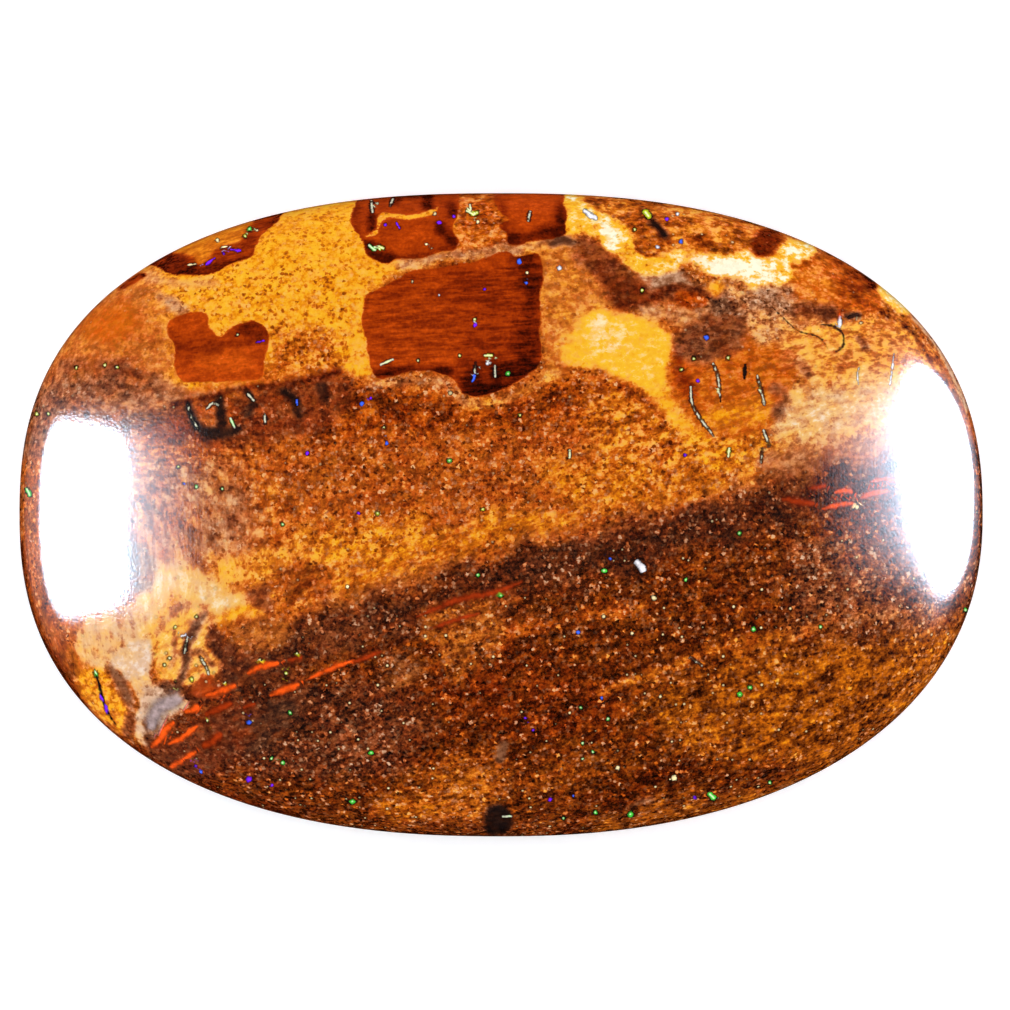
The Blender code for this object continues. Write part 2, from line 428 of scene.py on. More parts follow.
SEAM_AREAS = (
    Area(((165, 705), (250, 672), (340, 632), (427, 602), (500, 583), (557, 564), (620, 548), (680, 532),
          (780, 502), (900, 480)), Look(0.19, 0.3, 0.42, 0.85, 0.8, 0.3), soft=18, uneven=18, half_width=23),
    Area(((500, 640), (560, 660), (640, 700), (600, 725), (520, 735), (430, 700), (440, 660)),
         Look(tone=0.24, rust=0.45), soft=28, uneven=24),
    Area(((230, 690), (320, 680), (420, 690), (410, 750), (320, 775), (230, 760)),
         Look(tone=0.26, rust=0.4, ash=0.45), soft=22, uneven=20),
    Area(((400, 800), (450, 756), (500, 760), (505, 790), (480, 822)),
         Look(tone=0.47, rust=0.1), soft=18, uneven=18),
    Area(((520, 790), (560, 750), (640, 750), (600, 775), (540, 800)),
         Look(tone=0.33, rust=0.1), soft=16, uneven=18),
    Area(((680, 740), (740, 706), (830, 690), (900, 690), (860, 735), (760, 765)),
         Look(tone=0.48, rust=0.2), soft=20, uneven=20),
    Area(((840, 680), (900, 650), (950, 630), (960, 660), (900, 700)), Look(tone=0.52, rust=0.2),
         soft=14, uneven=14),
    Area(((640, 770), (700, 762), (780, 765), (760, 800), (650, 826), (560, 832)),
         Look(tone=0.12, rust=0.4), soft=14, uneven=14),
    Area(((640, 700), (760, 648), (960, 610), (975, 690), (830, 815), (600, 838), (640, 800), (800, 770),
          (700, 745)), Look(0.42, -0.1, 0.0, 0.85, 1.5, 1.0, 0.8), soft=30, uneven=24),
    Area(((800, 540), (940, 540), (965, 590), (900, 625), (800, 620)), Look(0.36, 0.3, 0.45, 1.2),
         soft=26, uneven=20),
    Area(((600, 690), (650, 673), (703, 652), (751, 639), (800, 632), (862, 617), (930, 608)),
         Look(tone=0.60, rust=0.15), soft=5, uneven=5, half_width=3),
    Area(((480, 640), (560, 620), (640, 606)), Look(tone=0.5, rust=0.4), soft=7, uneven=7, half_width=5),
    Area(((425, 604), (470, 592), (500, 602), (496, 632), (480, 664), (450, 670), (430, 640)),
         Look(tone=0.44, rust=0.1, ash=0.1), soft=12, uneven=12),
    Area(((372, 800), (400, 794), (440, 798), (430, 820), (392, 818)), Look(tone=0.52, rust=0.05, ash=0.0),
         soft=9, uneven=9),
    Area(((310, 640), (345, 622), (370, 624), (352, 644), (322, 652)), Look(tone=0.34), soft=12, uneven=12),
    Area(((380, 660), (405, 655), (425, 668), (410, 684), (385, 682)), Look(tone=0.40, rust=0.1, ash=0.3),
         soft=8, uneven=8),
)

LOWER_LEFT_AREAS = (
    Area(((145, 575), (170, 566), (203, 568), (225, 585), (250, 600), (222, 622), (205, 603), (187, 603),
          (172, 613), (160, 632), (150, 650), (128, 645), (130, 605)),
         Look(1.10, 0.05, 0.40, 0.5, 0.5, 0.0), soft=9, uneven=8),
    Area(((154, 640), (162, 622), (176, 598)), Look(tone=0.86, rust=0.0, ash=0.1), soft=5, uneven=4,
         half_width=6),
    Area(((128, 548), (142, 541), (154, 556), (156, 580), (146, 594), (132, 590)),
         Look(tone=0.46, rust=0.3, ash=0.9), soft=5, uneven=6),
    Area(((74, 640), (92, 616), (130, 606), (152, 594), (154, 612), (142, 634), (122, 648), (110, 664),
          (88, 664)), Look(0.90, 0.12, 0.50, 0.4, 1.0, 0.6), soft=7, uneven=9),
    Area(((215, 562), (250, 552), (290, 546), (330, 542), (326, 556), (282, 570), (250, 585), (225, 582)),
         Look(0.80, 0.12, 0.04, 0.6, 1.0, 0.3), soft=11, uneven=10),
    Area(((44, 600), (62, 628), (84, 664), (74, 676), (54, 650), (40, 618)),
         Look(0.42, 0.2, 0.05, 0.4, 1.0, 0.3), soft=6, uneven=6),
    Area(((217, 617), (230, 610), (248, 603), (257, 606), (270, 613), (267, 618), (245, 618), (228, 626),
          (221, 630)), Look(0.78, 0.05, 0.0, 0.3, 0.8, 0.1), soft=3, uneven=4),
    Area(((248, 593), (258, 586), (270, 586), (274, 598), (272, 608), (262, 607), (252, 600)),
         Look(0.38, 0.35, 0.3, 0.4, 0.9, 0.1), soft=4, uneven=5),
    Area(((285, 575), (300, 562), (330, 572), (325, 590), (300, 600), (290, 592)),
         Look(0.40, 0.3, 0.05, 0.5, 1.3, 0.1), soft=6, uneven=9),
    Area(((273, 595), (283, 592), (287, 600), (280, 608), (293, 607), (307, 593)),
         Look(tone=0.70, rust=0.15, ash=0.0), soft=2.5, uneven=3, half_width=2),
    Area(((230, 627), (250, 618), (285, 616), (290, 640), (250, 650)), Look(0.50, 0.05, 0.15, 0.6, 0.8, 0.3),
         soft=8, uneven=8),
    Area(((210, 625), (220, 628), (232, 642), (250, 652), (300, 660), (260, 685), (227, 680), (218, 660),
          (210, 650)), Look(0.25, 0.4, 0.5, 0.5, 0.8, 0.4), soft=5, uneven=6),
    Area(((158, 640), (163, 630), (170, 620), (180, 608), (197, 605), (208, 610), (211, 625), (208, 645),
          (215, 652), (223, 662), (213, 676), (193, 684), (178, 681), (163, 678), (157, 667)),
         Look(0.92, 0.05, 0.15, 0.4, 1.1, 0.1, 0.8), soft=3, uneven=4),
    Area(((160, 632), (168, 620), (180, 607), (196, 603), (208, 608)),
         Look(tone=0.70, rust=0.2, ash=0.3, grain=0.4), soft=3, uneven=4, half_width=3),
    Area(((208, 612), (200, 625), (190, 645), (188, 665), (180, 683), (173, 690)),
         Look(0.30, 0.2, 0.9, 0.3, 0.8, 0.2), soft=3, uneven=4, half_width=3),
    Area(((177, 630), (177, 652), (172, 668)), Look(0.50, 0.25, 0.4, 0.4, 0.8, 0.1), soft=2.5, uneven=3,
         half_width=1.5),
    Area(((196, 652), (206, 651), (214, 664)), Look(0.30, 0.2, 0.5, 0.4, 0.8, 0.0), soft=3, uneven=3,
         half_width=2),
    Area(((113, 663), (120, 650), (128, 645), (137, 641), (153, 638), (155, 653), (154, 677), (160, 687),
          (175, 693), (192, 705), (180, 710), (170, 718), (158, 733), (152, 745), (140, 740), (135, 727),
          (138, 713), (140, 703), (137, 690), (128, 677), (120, 668)),
         Look(1.05, 0.0, 0.8, 0.4, 0.7, 0.0), soft=3, uneven=4),
    Area(((143, 678), (158, 684), (167, 690), (176, 692), (192, 705), (180, 710), (170, 718), (158, 733),
          (150, 742), (140, 730), (142, 705)), Look(0.84, 0.0, 1.0, 0.6, 0.9, 0.0), soft=7, uneven=6),
    Area(((160, 682), (168, 680), (180, 684), (178, 692), (168, 691)), Look(tone=0.36, ash=0.9), soft=3,
         uneven=4),
    Area(((147, 722), (158, 730), (150, 738)), Look(tone=0.32, ash=1.0), soft=4, uneven=6, half_width=3),
    Area(((150, 745), (180, 738), (215, 720), (270, 700), (300, 705), (280, 735), (220, 765), (185, 775)),
         Look(0.24, 0.3, 0.8, 0.4, 0.8, 0.8, 0.4), soft=8, uneven=10),
    # A dark line just inside the lower-left rim: painted shade where the dome turns down.
    Area(((20, 545), (26, 590), (40, 634), (66, 678), (100, 722), (140, 753), (200, 787), (290, 815)),
         Look(0.22, 0.5, 0.0, 0.4, 0.8, 0.0), soft=5, uneven=4, half_width=5),
    Area(((82, 673), (90, 667), (103, 669), (113, 677), (120, 690), (127, 702), (130, 713), (127, 727),
          (120, 733), (107, 724), (93, 711), (85, 698), (79, 684)),
         Look(0.76, 0.05, 0.0, 0.4, 1.0, 0.2), soft=4, uneven=5),
    Area(((112, 667), (120, 671), (127, 680), (135, 693), (137, 702), (134, 709), (128, 704), (122, 694),
          (117, 685)), Look(0.40, 0.3, 0.75, 0.3, 0.8, 0.0), soft=3, uneven=3),
    Area(((129, 712), (134, 712), (137, 728), (129, 736), (124, 730)), Look(0.38, 0.3, 0.5, 0.3, 0.8, 0.0),
         soft=3, uneven=3),
    Area(((150, 748), (200, 715), (260, 700), (250, 745), (200, 780)), Look(0.28, 0.6, 0.5, 0.4, 0.8, 0.6),
         soft=8, uneven=8),
    Area(((190, 693), (197, 683), (204, 675), (213, 675), (218, 686), (236, 684), (234, 689), (217, 697),
          (203, 697)), Look(0.42, 1.0, 0.1, 0.2, 0.5, 0.0), soft=2.5, uneven=3),
)

DARK_AREAS = (
    Area(((198, 410), (222, 400), (236, 412), (228, 426), (208, 426)),
         Look(tone=0.5, rust=0.5, ash=0.1), soft=4, uneven=4),
    Area(((470, 405), (500, 403), (530, 387), (552, 374)), Look(tone=0.70, rust=0.1, ash=0.15), soft=4,
         uneven=5, half_width=4),
    Area(((372, 387), (400, 383), (440, 382), (455, 394), (464, 403)), Look(tone=0.60, rust=0.15, ash=0.3),
         soft=4, uneven=5, half_width=4),
    Area(((160, 441), (205, 440), (250, 428)), Look(tone=0.26, ash=0.5), soft=6, uneven=5, half_width=3),
    Area(((190, 404), (196, 422), (206, 432), (225, 434), (240, 430)), Look(0.10, 0.0, 1.0, 0.2, 0.8, 0.0),
         soft=3, uneven=3, half_width=3.5),
    Area(((222, 396), (225, 426)), Look(0.10, 0.2, 0.8, 0.2, 0.8, 0.0), soft=3, uneven=3, half_width=3.5),
    Area(((249, 392), (255, 402), (250, 414)), Look(0.10, 0.2, 0.8, 0.2, 0.8, 0.0), soft=3, uneven=3,
         half_width=4.5),
    Area(((286, 392), (297, 401), (300, 416)), Look(0.09, 0.2, 0.8, 0.2, 0.8, 0.0), soft=3, uneven=3,
         half_width=4.5),
    Area(((323, 388), (326, 400)), Look(0.12, 0.4, 0.5, 0.2, 0.8, 0.0), soft=3, uneven=3, half_width=5),
    Area(((176, 406), (212, 397), (240, 390), (280, 386), (320, 379), (342, 372)),
         Look(0.16, 0.7, 0.1, 0.3, 0.8, 0.0), soft=3, uneven=3, half_width=2.5),
    Area(((652, 223), (664, 236)), Look(0.03, 0.2, 0.8, 0.1, 0.8, 0.0), soft=3, uneven=3, half_width=4),
    Area(((552, 245), (562, 241), (572, 244)), Look(0.34, 0.0, 1.0, 0.2, 0.8, 0.0), soft=3, uneven=3,
         half_width=3.5),
    Area(((486, 812), (495, 803), (507, 806), (512, 820), (504, 832), (486, 832)),
         Look(0.05, 0.0, 0.9, 0.1, 0.8, 0.0), soft=3, uneven=2),
    Area(((505, 743), (500, 757)), Look(0.34, 0.0, 1.0, 0.1, 0.8, 0.0), soft=2, uneven=2, half_width=4),
    Area(((628, 806), (638, 801), (650, 798)), Look(0.5, 0.0, 0.9, 0.3, 0.8, 0.0), soft=3, uneven=3,
         half_width=2.5, cover=0.7),
    Area(((868, 278), (871, 286)), Look(tone=0.15, rust=0.7), soft=4, uneven=3, half_width=5),
    Area(((845, 318), (857, 316)), Look(0.14, 0.0, 0.9, 0.2, 0.8, 0.0), soft=2, uneven=2, half_width=3),
)

# Patches of red-brown wood-like ironstone, whose edges are sharp
PATCHES = (
    ((150, 262), (159, 268), (172, 275), (188, 276), (204, 276), (219, 273), (232, 266), (253, 257),
     (257, 247), (264, 235), (274, 226), (280, 219), (283, 205), (230, 212), (180, 235)),
    ((118, 290), (128, 280), (140, 273), (148, 276), (138, 282), (124, 290)),
    ((170, 326), (174, 320), (182, 316), (196, 313), (206, 314), (210, 319), (210, 327), (215, 331),
     (219, 337), (225, 337), (231, 331), (240, 326), (249, 323), (259, 323), (266, 328), (271, 336),
     (270, 345), (268, 356), (266, 366), (265, 377), (255, 381), (220, 383), (190, 383), (181, 378),
     (177, 368), (178, 354), (176, 344), (171, 337)),
    ((413, 273), (398, 281), (380, 291), (367, 297), (365, 311), (363, 326), (367, 338), (369, 351),
     (371, 361), (373, 371), (380, 380), (395, 377), (410, 373), (431, 372), (446, 376), (456, 381),
     (460, 389), (466, 395), (483, 397), (499, 392), (519, 381), (536, 369), (541, 357), (539, 334),
     (540, 318), (539, 298), (543, 278), (542, 265), (536, 255), (516, 258), (506, 253), (489, 258),
     (473, 264), (456, 266), (433, 270)),
    ((352, 226), (352, 216), (355, 208), (362, 196), (395, 190), (440, 188), (440, 206), (428, 212),
     (410, 216), (394, 215), (383, 214), (378, 221), (376, 230), (370, 236), (362, 237), (356, 232)),
    ((357, 233), (362, 240), (366, 250), (368, 257), (374, 261), (383, 265), (391, 265), (397, 261),
     (412, 261), (427, 259), (440, 254), (451, 253), (457, 249), (459, 243), (455, 236), (453, 227),
     (458, 215), (458, 188), (442, 188), (438, 210), (428, 217), (412, 221), (396, 219), (386, 220),
     (381, 227), (377, 236), (366, 239)),
    ((494, 200), (502, 188), (560, 188), (563, 204), (567, 213), (565, 226), (564, 236), (547, 242),
     (536, 242), (523, 245), (515, 248), (507, 245), (507, 236), (500, 229), (502, 224), (511, 221),
     (503, 217), (497, 209)),
)

# What the patches are like inside, over their common red-brown
PATCH_BASE = Look(tone=0.34, rust=0.95, stripe=0.42)
PATCH_AREAS = (
    Area(((340, 170), (580, 170), (580, 250), (340, 275)), Look(tone=0.41, stripe=0.12), soft=2, uneven=0),
    Area(((165, 305), (225, 305), (280, 320), (280, 390), (170, 390)),
         Look(tone=0.45, rust=0.9, stripe=0.26), soft=4, uneven=2),
    Area(((200, 354), (245, 350), (250, 372), (205, 374)), Look(tone=0.54, rust=0.75), soft=10, uneven=6),
    Area(((360, 300), (440, 290), (450, 360), (370, 366)), Look(tone=0.40, rust=0.9), soft=20, uneven=10),
    Area(((176, 336), (225, 338), (272, 322), (272, 344), (225, 352), (178, 362)), Look(tone=0.34), soft=7,
         uneven=4),
    Area(((238, 330), (258, 322), (270, 336), (250, 338)), Look(tone=0.24), soft=6, uneven=4),
    Area(((376, 350), (440, 352), (450, 366), (380, 368)), Look(tone=0.44), soft=10, uneven=6),
    Area(((526, 250), (530, 300), (526, 350), (530, 375)), Look(tone=0.18), soft=10, uneven=8, half_width=11),
    Area(((372, 376), (410, 372), (450, 374)), Look(tone=0.14), soft=3, uneven=3, half_width=4),
    Area(((464, 380), (474, 368), (530, 362), (545, 372), (500, 402), (466, 402)), Look(tone=0.11), soft=5,
         uneven=4),
    Area(((357, 200), (356, 225), (362, 245), (376, 260), (400, 261), (430, 256), (455, 246)),
         Look(tone=0.27), soft=4, uneven=4, half_width=3),
    Area(((396, 202), (404, 194), (416, 197)), Look(tone=0.22), soft=4, uneven=4, half_width=4),
    Area(((502, 206), (506, 220), (503, 236)), Look(tone=0.28), soft=4, uneven=4, half_width=3),
    Area(((514, 196), (548, 196), (553, 222), (518, 230)), Look(tone=0.48), soft=8, uneven=6),
    Area(((400, 232), (436, 226), (440, 244), (402, 250)), Look(tone=0.45), soft=8, uneven=6),
    Area(((486, 370), (487, 382)), Look(tone=0.30), soft=3, uneven=2, half_width=5),
    Area(((150, 262), (160, 255), (178, 254), (196, 262), (214, 264), (255, 250), (276, 222), (286, 200),
          (290, 240), (250, 285), (150, 285)), Look(tone=0.20), soft=4, uneven=4),
    Area(((172, 252), (182, 256), (193, 259), (197, 263), (204, 265), (211, 258), (216, 251), (223, 247),
          (232, 246), (242, 242), (246, 234), (253, 226), (250, 214), (205, 225), (180, 238)),
         Look(tone=0.66, rust=0.1), soft=2.5, uneven=3),
    Area(((372, 218), (373, 230)), Look(tone=0.12), soft=4, uneven=3, half_width=3),
    Area(((427, 196), (428, 206)), Look(tone=0.12), soft=5, uneven=3, half_width=5),
    Area(((371, 248), (376, 256), (388, 262)), Look(tone=0.14), soft=5, uneven=3, half_width=6),
    Area(((452, 207), (453, 214)), Look(tone=0.16), soft=4, uneven=3, half_width=5),
    Area(((452, 243), (440, 230)), Look(tone=0.16), soft=5, uneven=4, half_width=5),
    Area(((505, 240), (520, 238), (545, 234), (566, 232)), Look(tone=0.13), soft=7, uneven=5, half_width=6),
    Area(((560, 212), (562, 232)), Look(tone=0.14), soft=6, uneven=4, half_width=5),
)


class Stroke(NamedTuple):
    """A thin line of opal or a fleck of it: its points and its half width."""

    points: tuple
    half_width: float


def flecks(*places):
    """Round flecks, each an x, a y and a radius."""
    return tuple(Stroke(((x, y),), radius) for x, y, radius in places)


SILVER = (
    Stroke(((371.5, 201), (373, 213)), 1.5), Stroke(((393.5, 199), (390.5, 206)), 1.2),
    Stroke(((530, 213), (528, 222)), 1.5), Stroke(((190.5, 404), (193.5, 417), (202, 431)), 1.3),
    Stroke(((209, 410), (215, 404), (221, 406)), 1.0), Stroke(((250, 395), (256, 401)), 1.4),
    Stroke(((267, 415), (267.5, 425)), 0.9), Stroke(((711, 365), (716, 378), (718, 396)), 1.1),
    Stroke(((689, 388), (690, 404), (698, 419), (711, 436)), 1.1),
    Stroke(((755, 377), (759, 392), (762, 406)), 1.1), Stroke(((761, 431), (767, 447)), 1.1),
    Stroke(((760, 448), (759, 463)), 1.0), Stroke(((495, 367), (495.5, 378)), 1.1),
    Stroke(((476, 364), (475, 374)), 1.1), Stroke(((688, 656), (700, 664)), 0.8),
    Stroke(((189, 640), (187, 652)), 1.4), Stroke(((202, 655), (207, 663), (211, 673)), 0.9),
)

MILK = (
    Stroke(((584, 211), (589, 216), (596, 220)), 2.8), Stroke(((635, 561), (638, 564), (642, 570)), 3.6),
    Stroke(((838, 321), (838, 325)), 2.4), Stroke(((184, 635), (188, 634)), 1.6),
    Stroke(((892, 354), (890, 370), (887, 388)), 1.0), Stroke(((857, 368), (855, 374), (856, 386)), 0.9),
) + flecks((559, 270, 2.4), (656.5, 249, 2.2), (677, 215, 2.0), (440, 297, 1.4), (487.5, 365, 1.7))

GREEN = (
    Stroke(((370, 247), (376, 252)), 1.9), Stroke(((28, 489), (31, 495)), 2.2),
    Stroke(((233, 419), (237, 428)), 1.6), Stroke(((503, 815), (511, 815)), 1.0),
    Stroke(((709, 793), (713, 797)), 2.6), Stroke(((97, 670), (98, 674)), 2.1),
) + flecks(
    (250, 230, 2.6), (292, 711, 2.4), (353, 800, 3.0), (372, 751, 2.4), (284, 761, 2.4), (273, 757, 2.0),
    (630, 813, 3.2), (595, 811, 2.2), (563, 817, 2.0), (607, 717, 2.2), (751, 628, 2.8), (738, 693, 3.2),
    (748, 686, 2.4), (684, 579, 2.0), (737, 533, 2.6), (478, 574, 2.0), (501, 594, 2.2), (450, 461, 2.6),
    (965, 610, 2.2), (818, 626, 2.0), (769, 782, 1.8), (582, 741, 1.8), (592, 750, 1.8), (582, 757, 1.8),
    (580, 706, 2.0), (508, 375, 2.8), (225, 489, 1.8), (199, 487, 1.9), (285, 524, 1.8), (603, 570, 2.6),
)

LIME = (
    Stroke(((380, 248), (384, 250)), 1.8), Stroke(((467, 212), (474, 216)), 1.8),
    Stroke(((470, 206), (471, 211)), 1.1), Stroke(((645, 213), (648, 217)), 3.2),
    Stroke(((382, 366), (394, 361)), 1.0), Stroke(((485, 357), (492, 357)), 1.6),
    Stroke(((727, 449), (726, 457)), 1.7), Stroke(((569, 451), (569, 458)), 1.4),
) + flecks(
    (477, 214, 2.2), (634, 231, 1.9), (246, 237, 1.9), (78, 368, 1.8), (107, 366, 1.8), (119, 368, 1.8),
    (240, 336, 1.7), (38, 414, 2.0), (50, 414, 1.9), (419, 362, 1.7), (460, 357, 1.6), (475, 321, 1.8),
    (199, 616, 1.7), (178, 626, 1.7), (167, 664, 1.8), (172, 657, 1.6), (194, 678, 2.0), (178, 680, 1.6),
    (299, 652, 1.7), (288, 672, 1.7), (262, 658, 1.5), (228, 681, 1.5), (183, 737, 1.7), (209, 719, 1.4),
    (692, 360, 2.0), (726, 359, 2.2), (680, 371, 1.9), (717, 392, 1.7), (757, 391, 1.7), (641, 292, 1.9),
    (520, 416, 1.8), (385, 428, 1.8), (379, 513, 2.4), (483, 509, 1.9), (378, 204, 1.0), (181, 467, 1.6),
)

VIOLET = (
    Stroke(((207, 266), (216, 259)), 1.5), Stroke(((232, 250.5), (242, 252)), 1.5),
    Stroke(((258, 344), (266, 342)), 1.3), Stroke(((103, 696), (104, 698)), 2.1),
    Stroke(((107, 706), (108, 710)), 2.2), Stroke(((397, 224), (400, 230)), 1.1),
) + flecks(
    (225, 255, 1.7), (439, 224, 2.6), (454, 218, 1.9), (386, 226, 1.8), (250, 778, 3.6), (273, 784, 1.9),
    (197, 765, 1.9),
    (550, 798, 2.1), (694, 796, 2.6), (485, 291, 1.6), (475, 327, 1.9), (666, 220, 2.3), (696, 382, 2.2),
    (683, 456, 2.2), (309, 454, 1.9), (360, 513, 1.7), (372, 399, 1.7), (525, 716, 1.7), (533, 728, 1.7),
)

BLUE = (Stroke(((299, 401), (299, 406)), 1.3), Stroke(((473, 382), (475, 377)), 1.5)) + flecks(
    (251, 721, 3.0), (202, 771, 2.0), (577, 631, 2.4), (680, 243, 2.6), (705, 339, 2.6), (363, 405, 2.6),
    (388, 444, 2.1),
    (601, 696, 1.8), (519, 263, 2.7), (526, 285, 2.0), (573, 794, 1.7), (609, 558, 1.6), (187, 484, 1.7),
)

CREAM = (Stroke(((189, 266), (198, 265)), 1.2), Stroke(((221, 249), (230, 247)), 1.1)) + flecks(
    (652, 597, 2.8), (631, 632, 2.0), (673, 776, 3.0), (659, 695, 2.2), (617, 766, 2.4), (603, 615, 2.2),
    (854, 507, 3.0), (451, 394, 2.6), (349, 586, 2.1), (413, 283, 1.6), (435, 215, 1.7), (478, 223, 1.7),
    (427, 246, 1.4), (432, 250, 1.5), (258, 231, 1.6), (527, 275, 1.8), (859, 324, 1.9), (218, 241, 2.2),
)

FLAME = (
    Stroke(((250, 672), (263, 665), (280, 662)), 4.0), Stroke(((208, 694), (225, 689), (237, 684)), 3.8),
    Stroke(((188, 711), (195, 708), (200, 705)), 3.8), Stroke(((273, 694), (287, 688), (300, 683)), 4.0),
    Stroke(((308, 678), (320, 673), (337, 665), (352, 660)), 3.0),
    Stroke(((153, 746), (161, 738), (167, 729), (175, 722)), 4.4),
    Stroke(((170, 743), (182, 737), (192, 730), (199, 725)), 3.6),
    Stroke(((186, 757), (197, 751)), 3.0), Stroke(((172, 766), (183, 760)), 3.6),
    Stroke(((832, 493), (841, 490), (849, 492)), 3.2), Stroke(((858, 498), (870, 493), (884, 491)), 3.6),
    Stroke(((820, 509), (836, 505), (850, 503)), 3.4), Stroke(((868, 482), (884, 479), (898, 483)), 2.8),
    Stroke(((838, 312), (838, 317)), 2.0),
)

EMBER = (
    Stroke(((290, 659), (303, 656)), 3.0), Stroke(((208, 713), (220, 708), (233, 702)), 5.0),
    Stroke(((356, 660), (368, 656), (382, 650)), 3.2), Stroke(((205, 745), (214, 740), (222, 733)), 5.0),
    Stroke(((417, 616), (440, 606), (461, 598), (492, 592), (522, 581)), 4.0),
    Stroke(((780, 499), (796, 502), (811, 503)), 4.2), Stroke(((806, 489), (822, 486)), 3.4),
    Stroke(((430, 628), (452, 620), (480, 612)), 3.0), Stroke(((246, 706), (256, 702)), 3.0),
)

CRACKS = (
    Stroke(((743, 366), (742, 380)), 2.2), Stroke(((718, 396), (718.5, 403)), 1.0),
    Stroke(((96, 667), (100, 680), (103, 693), (108, 710), (117, 725)), 1.8),
)

FAINT_CRACKS = (
    Stroke(((818, 326), (830, 327), (840, 334), (841, 347), (831, 354)), 1.5),
    Stroke(((766, 304), (780, 318), (796, 332), (816, 338), (826, 350)), 0.8),
    Stroke(((846, 319), (856, 315)), 2.0),
)

LILAC = (
    Stroke(((153, 726), (161, 707), (181, 698)), 9.0),
)


# The markings in thin lines and flecks, by the name of their colour
FIRES = {
    "ember": EMBER, "flame": FLAME, "ash_0": CRACKS, "ash_1": FAINT_CRACKS, "lilac": LILAC, "cream": CREAM,
    "milk": MILK, "silver": SILVER, "lime": LIME, "green": GREEN, "violet": VIOLET, "blue": BLUE,
}
# How wide a ring of dark clay lies round each. Those below 0 have none, and the lower the softer.
RINGS = {
    "ember": -1.4, "flame": -0.3, "ash_0": 0.0, "ash_1": 0.0, "lilac": -4.6, "cream": 0.8, "milk": 0.6,
    "silver": 1.8, "lime": 1.3, "green": 1.3, "violet": 0.8, "blue": 0.8,
}
# How far from a line or fleck its place is stored, how far from the end of that it fades out, and
# how near to it the place is kept where two of them meet
FIRE_REACH = 6.0
FIRE_FADE = 2.0
FIRE_CLOSE = 1.5
# How much farther out than that the points are looked for
FIRE_MARGIN = 4.0


# How clearly the cloudy noise is drawn apart into lighter and darker blotches
BLOTCH_EDGE = (-0.09, 0.11)
BLOTCH_RANGE = 0.2
BLOTCH_SOFTNESS = 0.5


class Wiring:
    """Adds nodes to a tree and joins them. Any input may be a number, a colour or a node's output."""

    def __init__(self, tree):
        self.tree = tree

    def node(self, kind, inputs=(), **settings):
        made = self.tree.nodes.new(kind)
        for name, value in settings.items():
            setattr(made, name, value)
        for socket, value in dict(inputs).items():
            if isinstance(value, bpy.types.NodeSocket):
                self.tree.links.new(value, made.inputs[socket])
            else:
                made.inputs[socket].default_value = value
        return made

    def maths(self, operation, *values):
        return self.node("ShaderNodeMath", enumerate(values), operation=operation).outputs[0]

    def times(self, first, second):
        return self.maths("MULTIPLY", first, second)

    def plus(self, first, second):
        return self.maths("ADD", first, second)

    def times_plus(self, first, second, third):
        """The first times the second, and the third added."""
        return self.maths("MULTIPLY_ADD", first, second, third)

    def clamped(self, value):
        """The value, kept from 0 to 1. A node of its own keeps the long shader within Cycles' memory."""
        return self.node("ShaderNodeClamp", {0: value}).outputs[0]

    def vector(self, operation, *values):
        made = self.node("ShaderNodeVectorMath", enumerate(values), operation=operation)
        return made.outputs["Value" if operation in ("LENGTH", "DOT_PRODUCT", "DISTANCE") else "Vector"]

    def scaled(self, place, scale):
        return self.node("ShaderNodeVectorMath", {0: place, "Scale": scale}, operation="SCALE").outputs[0]

    def noise(self, place, size, detail=2.0, roughness=0.6):
        """Cloudy noise from about -0.5 to 0.5, with features of the given size."""
        made = self.node(
            "ShaderNodeTexNoise",
            {"Vector": place, "Scale": 1 / size, "Detail": detail, "Roughness": roughness},
        )
        return self.maths("SUBTRACT", made.outputs[0], 0.5)

    def blotchy(self, noise):
        """The noise, drawn apart into lighter and darker blotches with fairly clear edges."""
        apart = self.times_plus(self.step(noise, *BLOTCH_EDGE), BLOTCH_RANGE, -BLOTCH_RANGE / 2)
        return self.times_plus(noise, BLOTCH_SOFTNESS, apart)

    def strayed(self, place, size, reach):
        """The place, moved about by up to the reach, so that what is drawn there has uneven edges."""
        made = self.node("ShaderNodeTexNoise", {"Vector": place, "Scale": 1 / size, "Detail": 0.0})
        way = self.vector("MULTIPLY_ADD", made.outputs["Color"], (2, 2, 2), (-1, -1, -1))
        return self.vector("MULTIPLY_ADD", way, (reach, reach, reach), place)

    def grains(self, place, size):
        """The distance from the nearest grain's middle, in grains, and the grain's own random values."""
        made = self.node("ShaderNodeTexVoronoi", {"Vector": place, "Scale": 1 / size})
        parts = self.node("ShaderNodeSeparateColor", {0: made.outputs["Color"]})
        return made.outputs["Distance"], parts.outputs[0], parts.outputs[1]

    def step(self, value, low, high):
        made = self.node(
            "ShaderNodeMapRange", {"Value": value, "From Min": low, "From Max": high},
            interpolation_type="SMOOTHSTEP", clamp=False,
        )
        return made.outputs[0]

    def mix(self, share, first, second):
        made = self.node("ShaderNodeMix", {0: share, 2: first, 3: second}, data_type="FLOAT")
        return made.outputs[0]

    def mix_colour(self, share, first, second):
        made = self.node("ShaderNodeMix", {0: share, 6: first, 7: second}, data_type="RGBA")
        return made.outputs[2]

    def ramp(self, value, stops):
        """Colours against a value from 0 to 1."""
        made = self.node("ShaderNodeValToRGB", {0: value})
        elements = made.color_ramp.elements
        for spare in list(elements)[1:]:
            elements.remove(spare)
        elements[0].position, elements[0].color = stops[0]
        for position, colour in stops[1:]:
            elements.new(position).color = colour
        return made.outputs[0]

    def attribute(self, name):
        return self.node("ShaderNodeAttribute", attribute_name=name).outputs["Fac"]

    def vector_attribute(self, name):
        return self.node("ShaderNodeAttribute", attribute_name=name).outputs["Vector"]


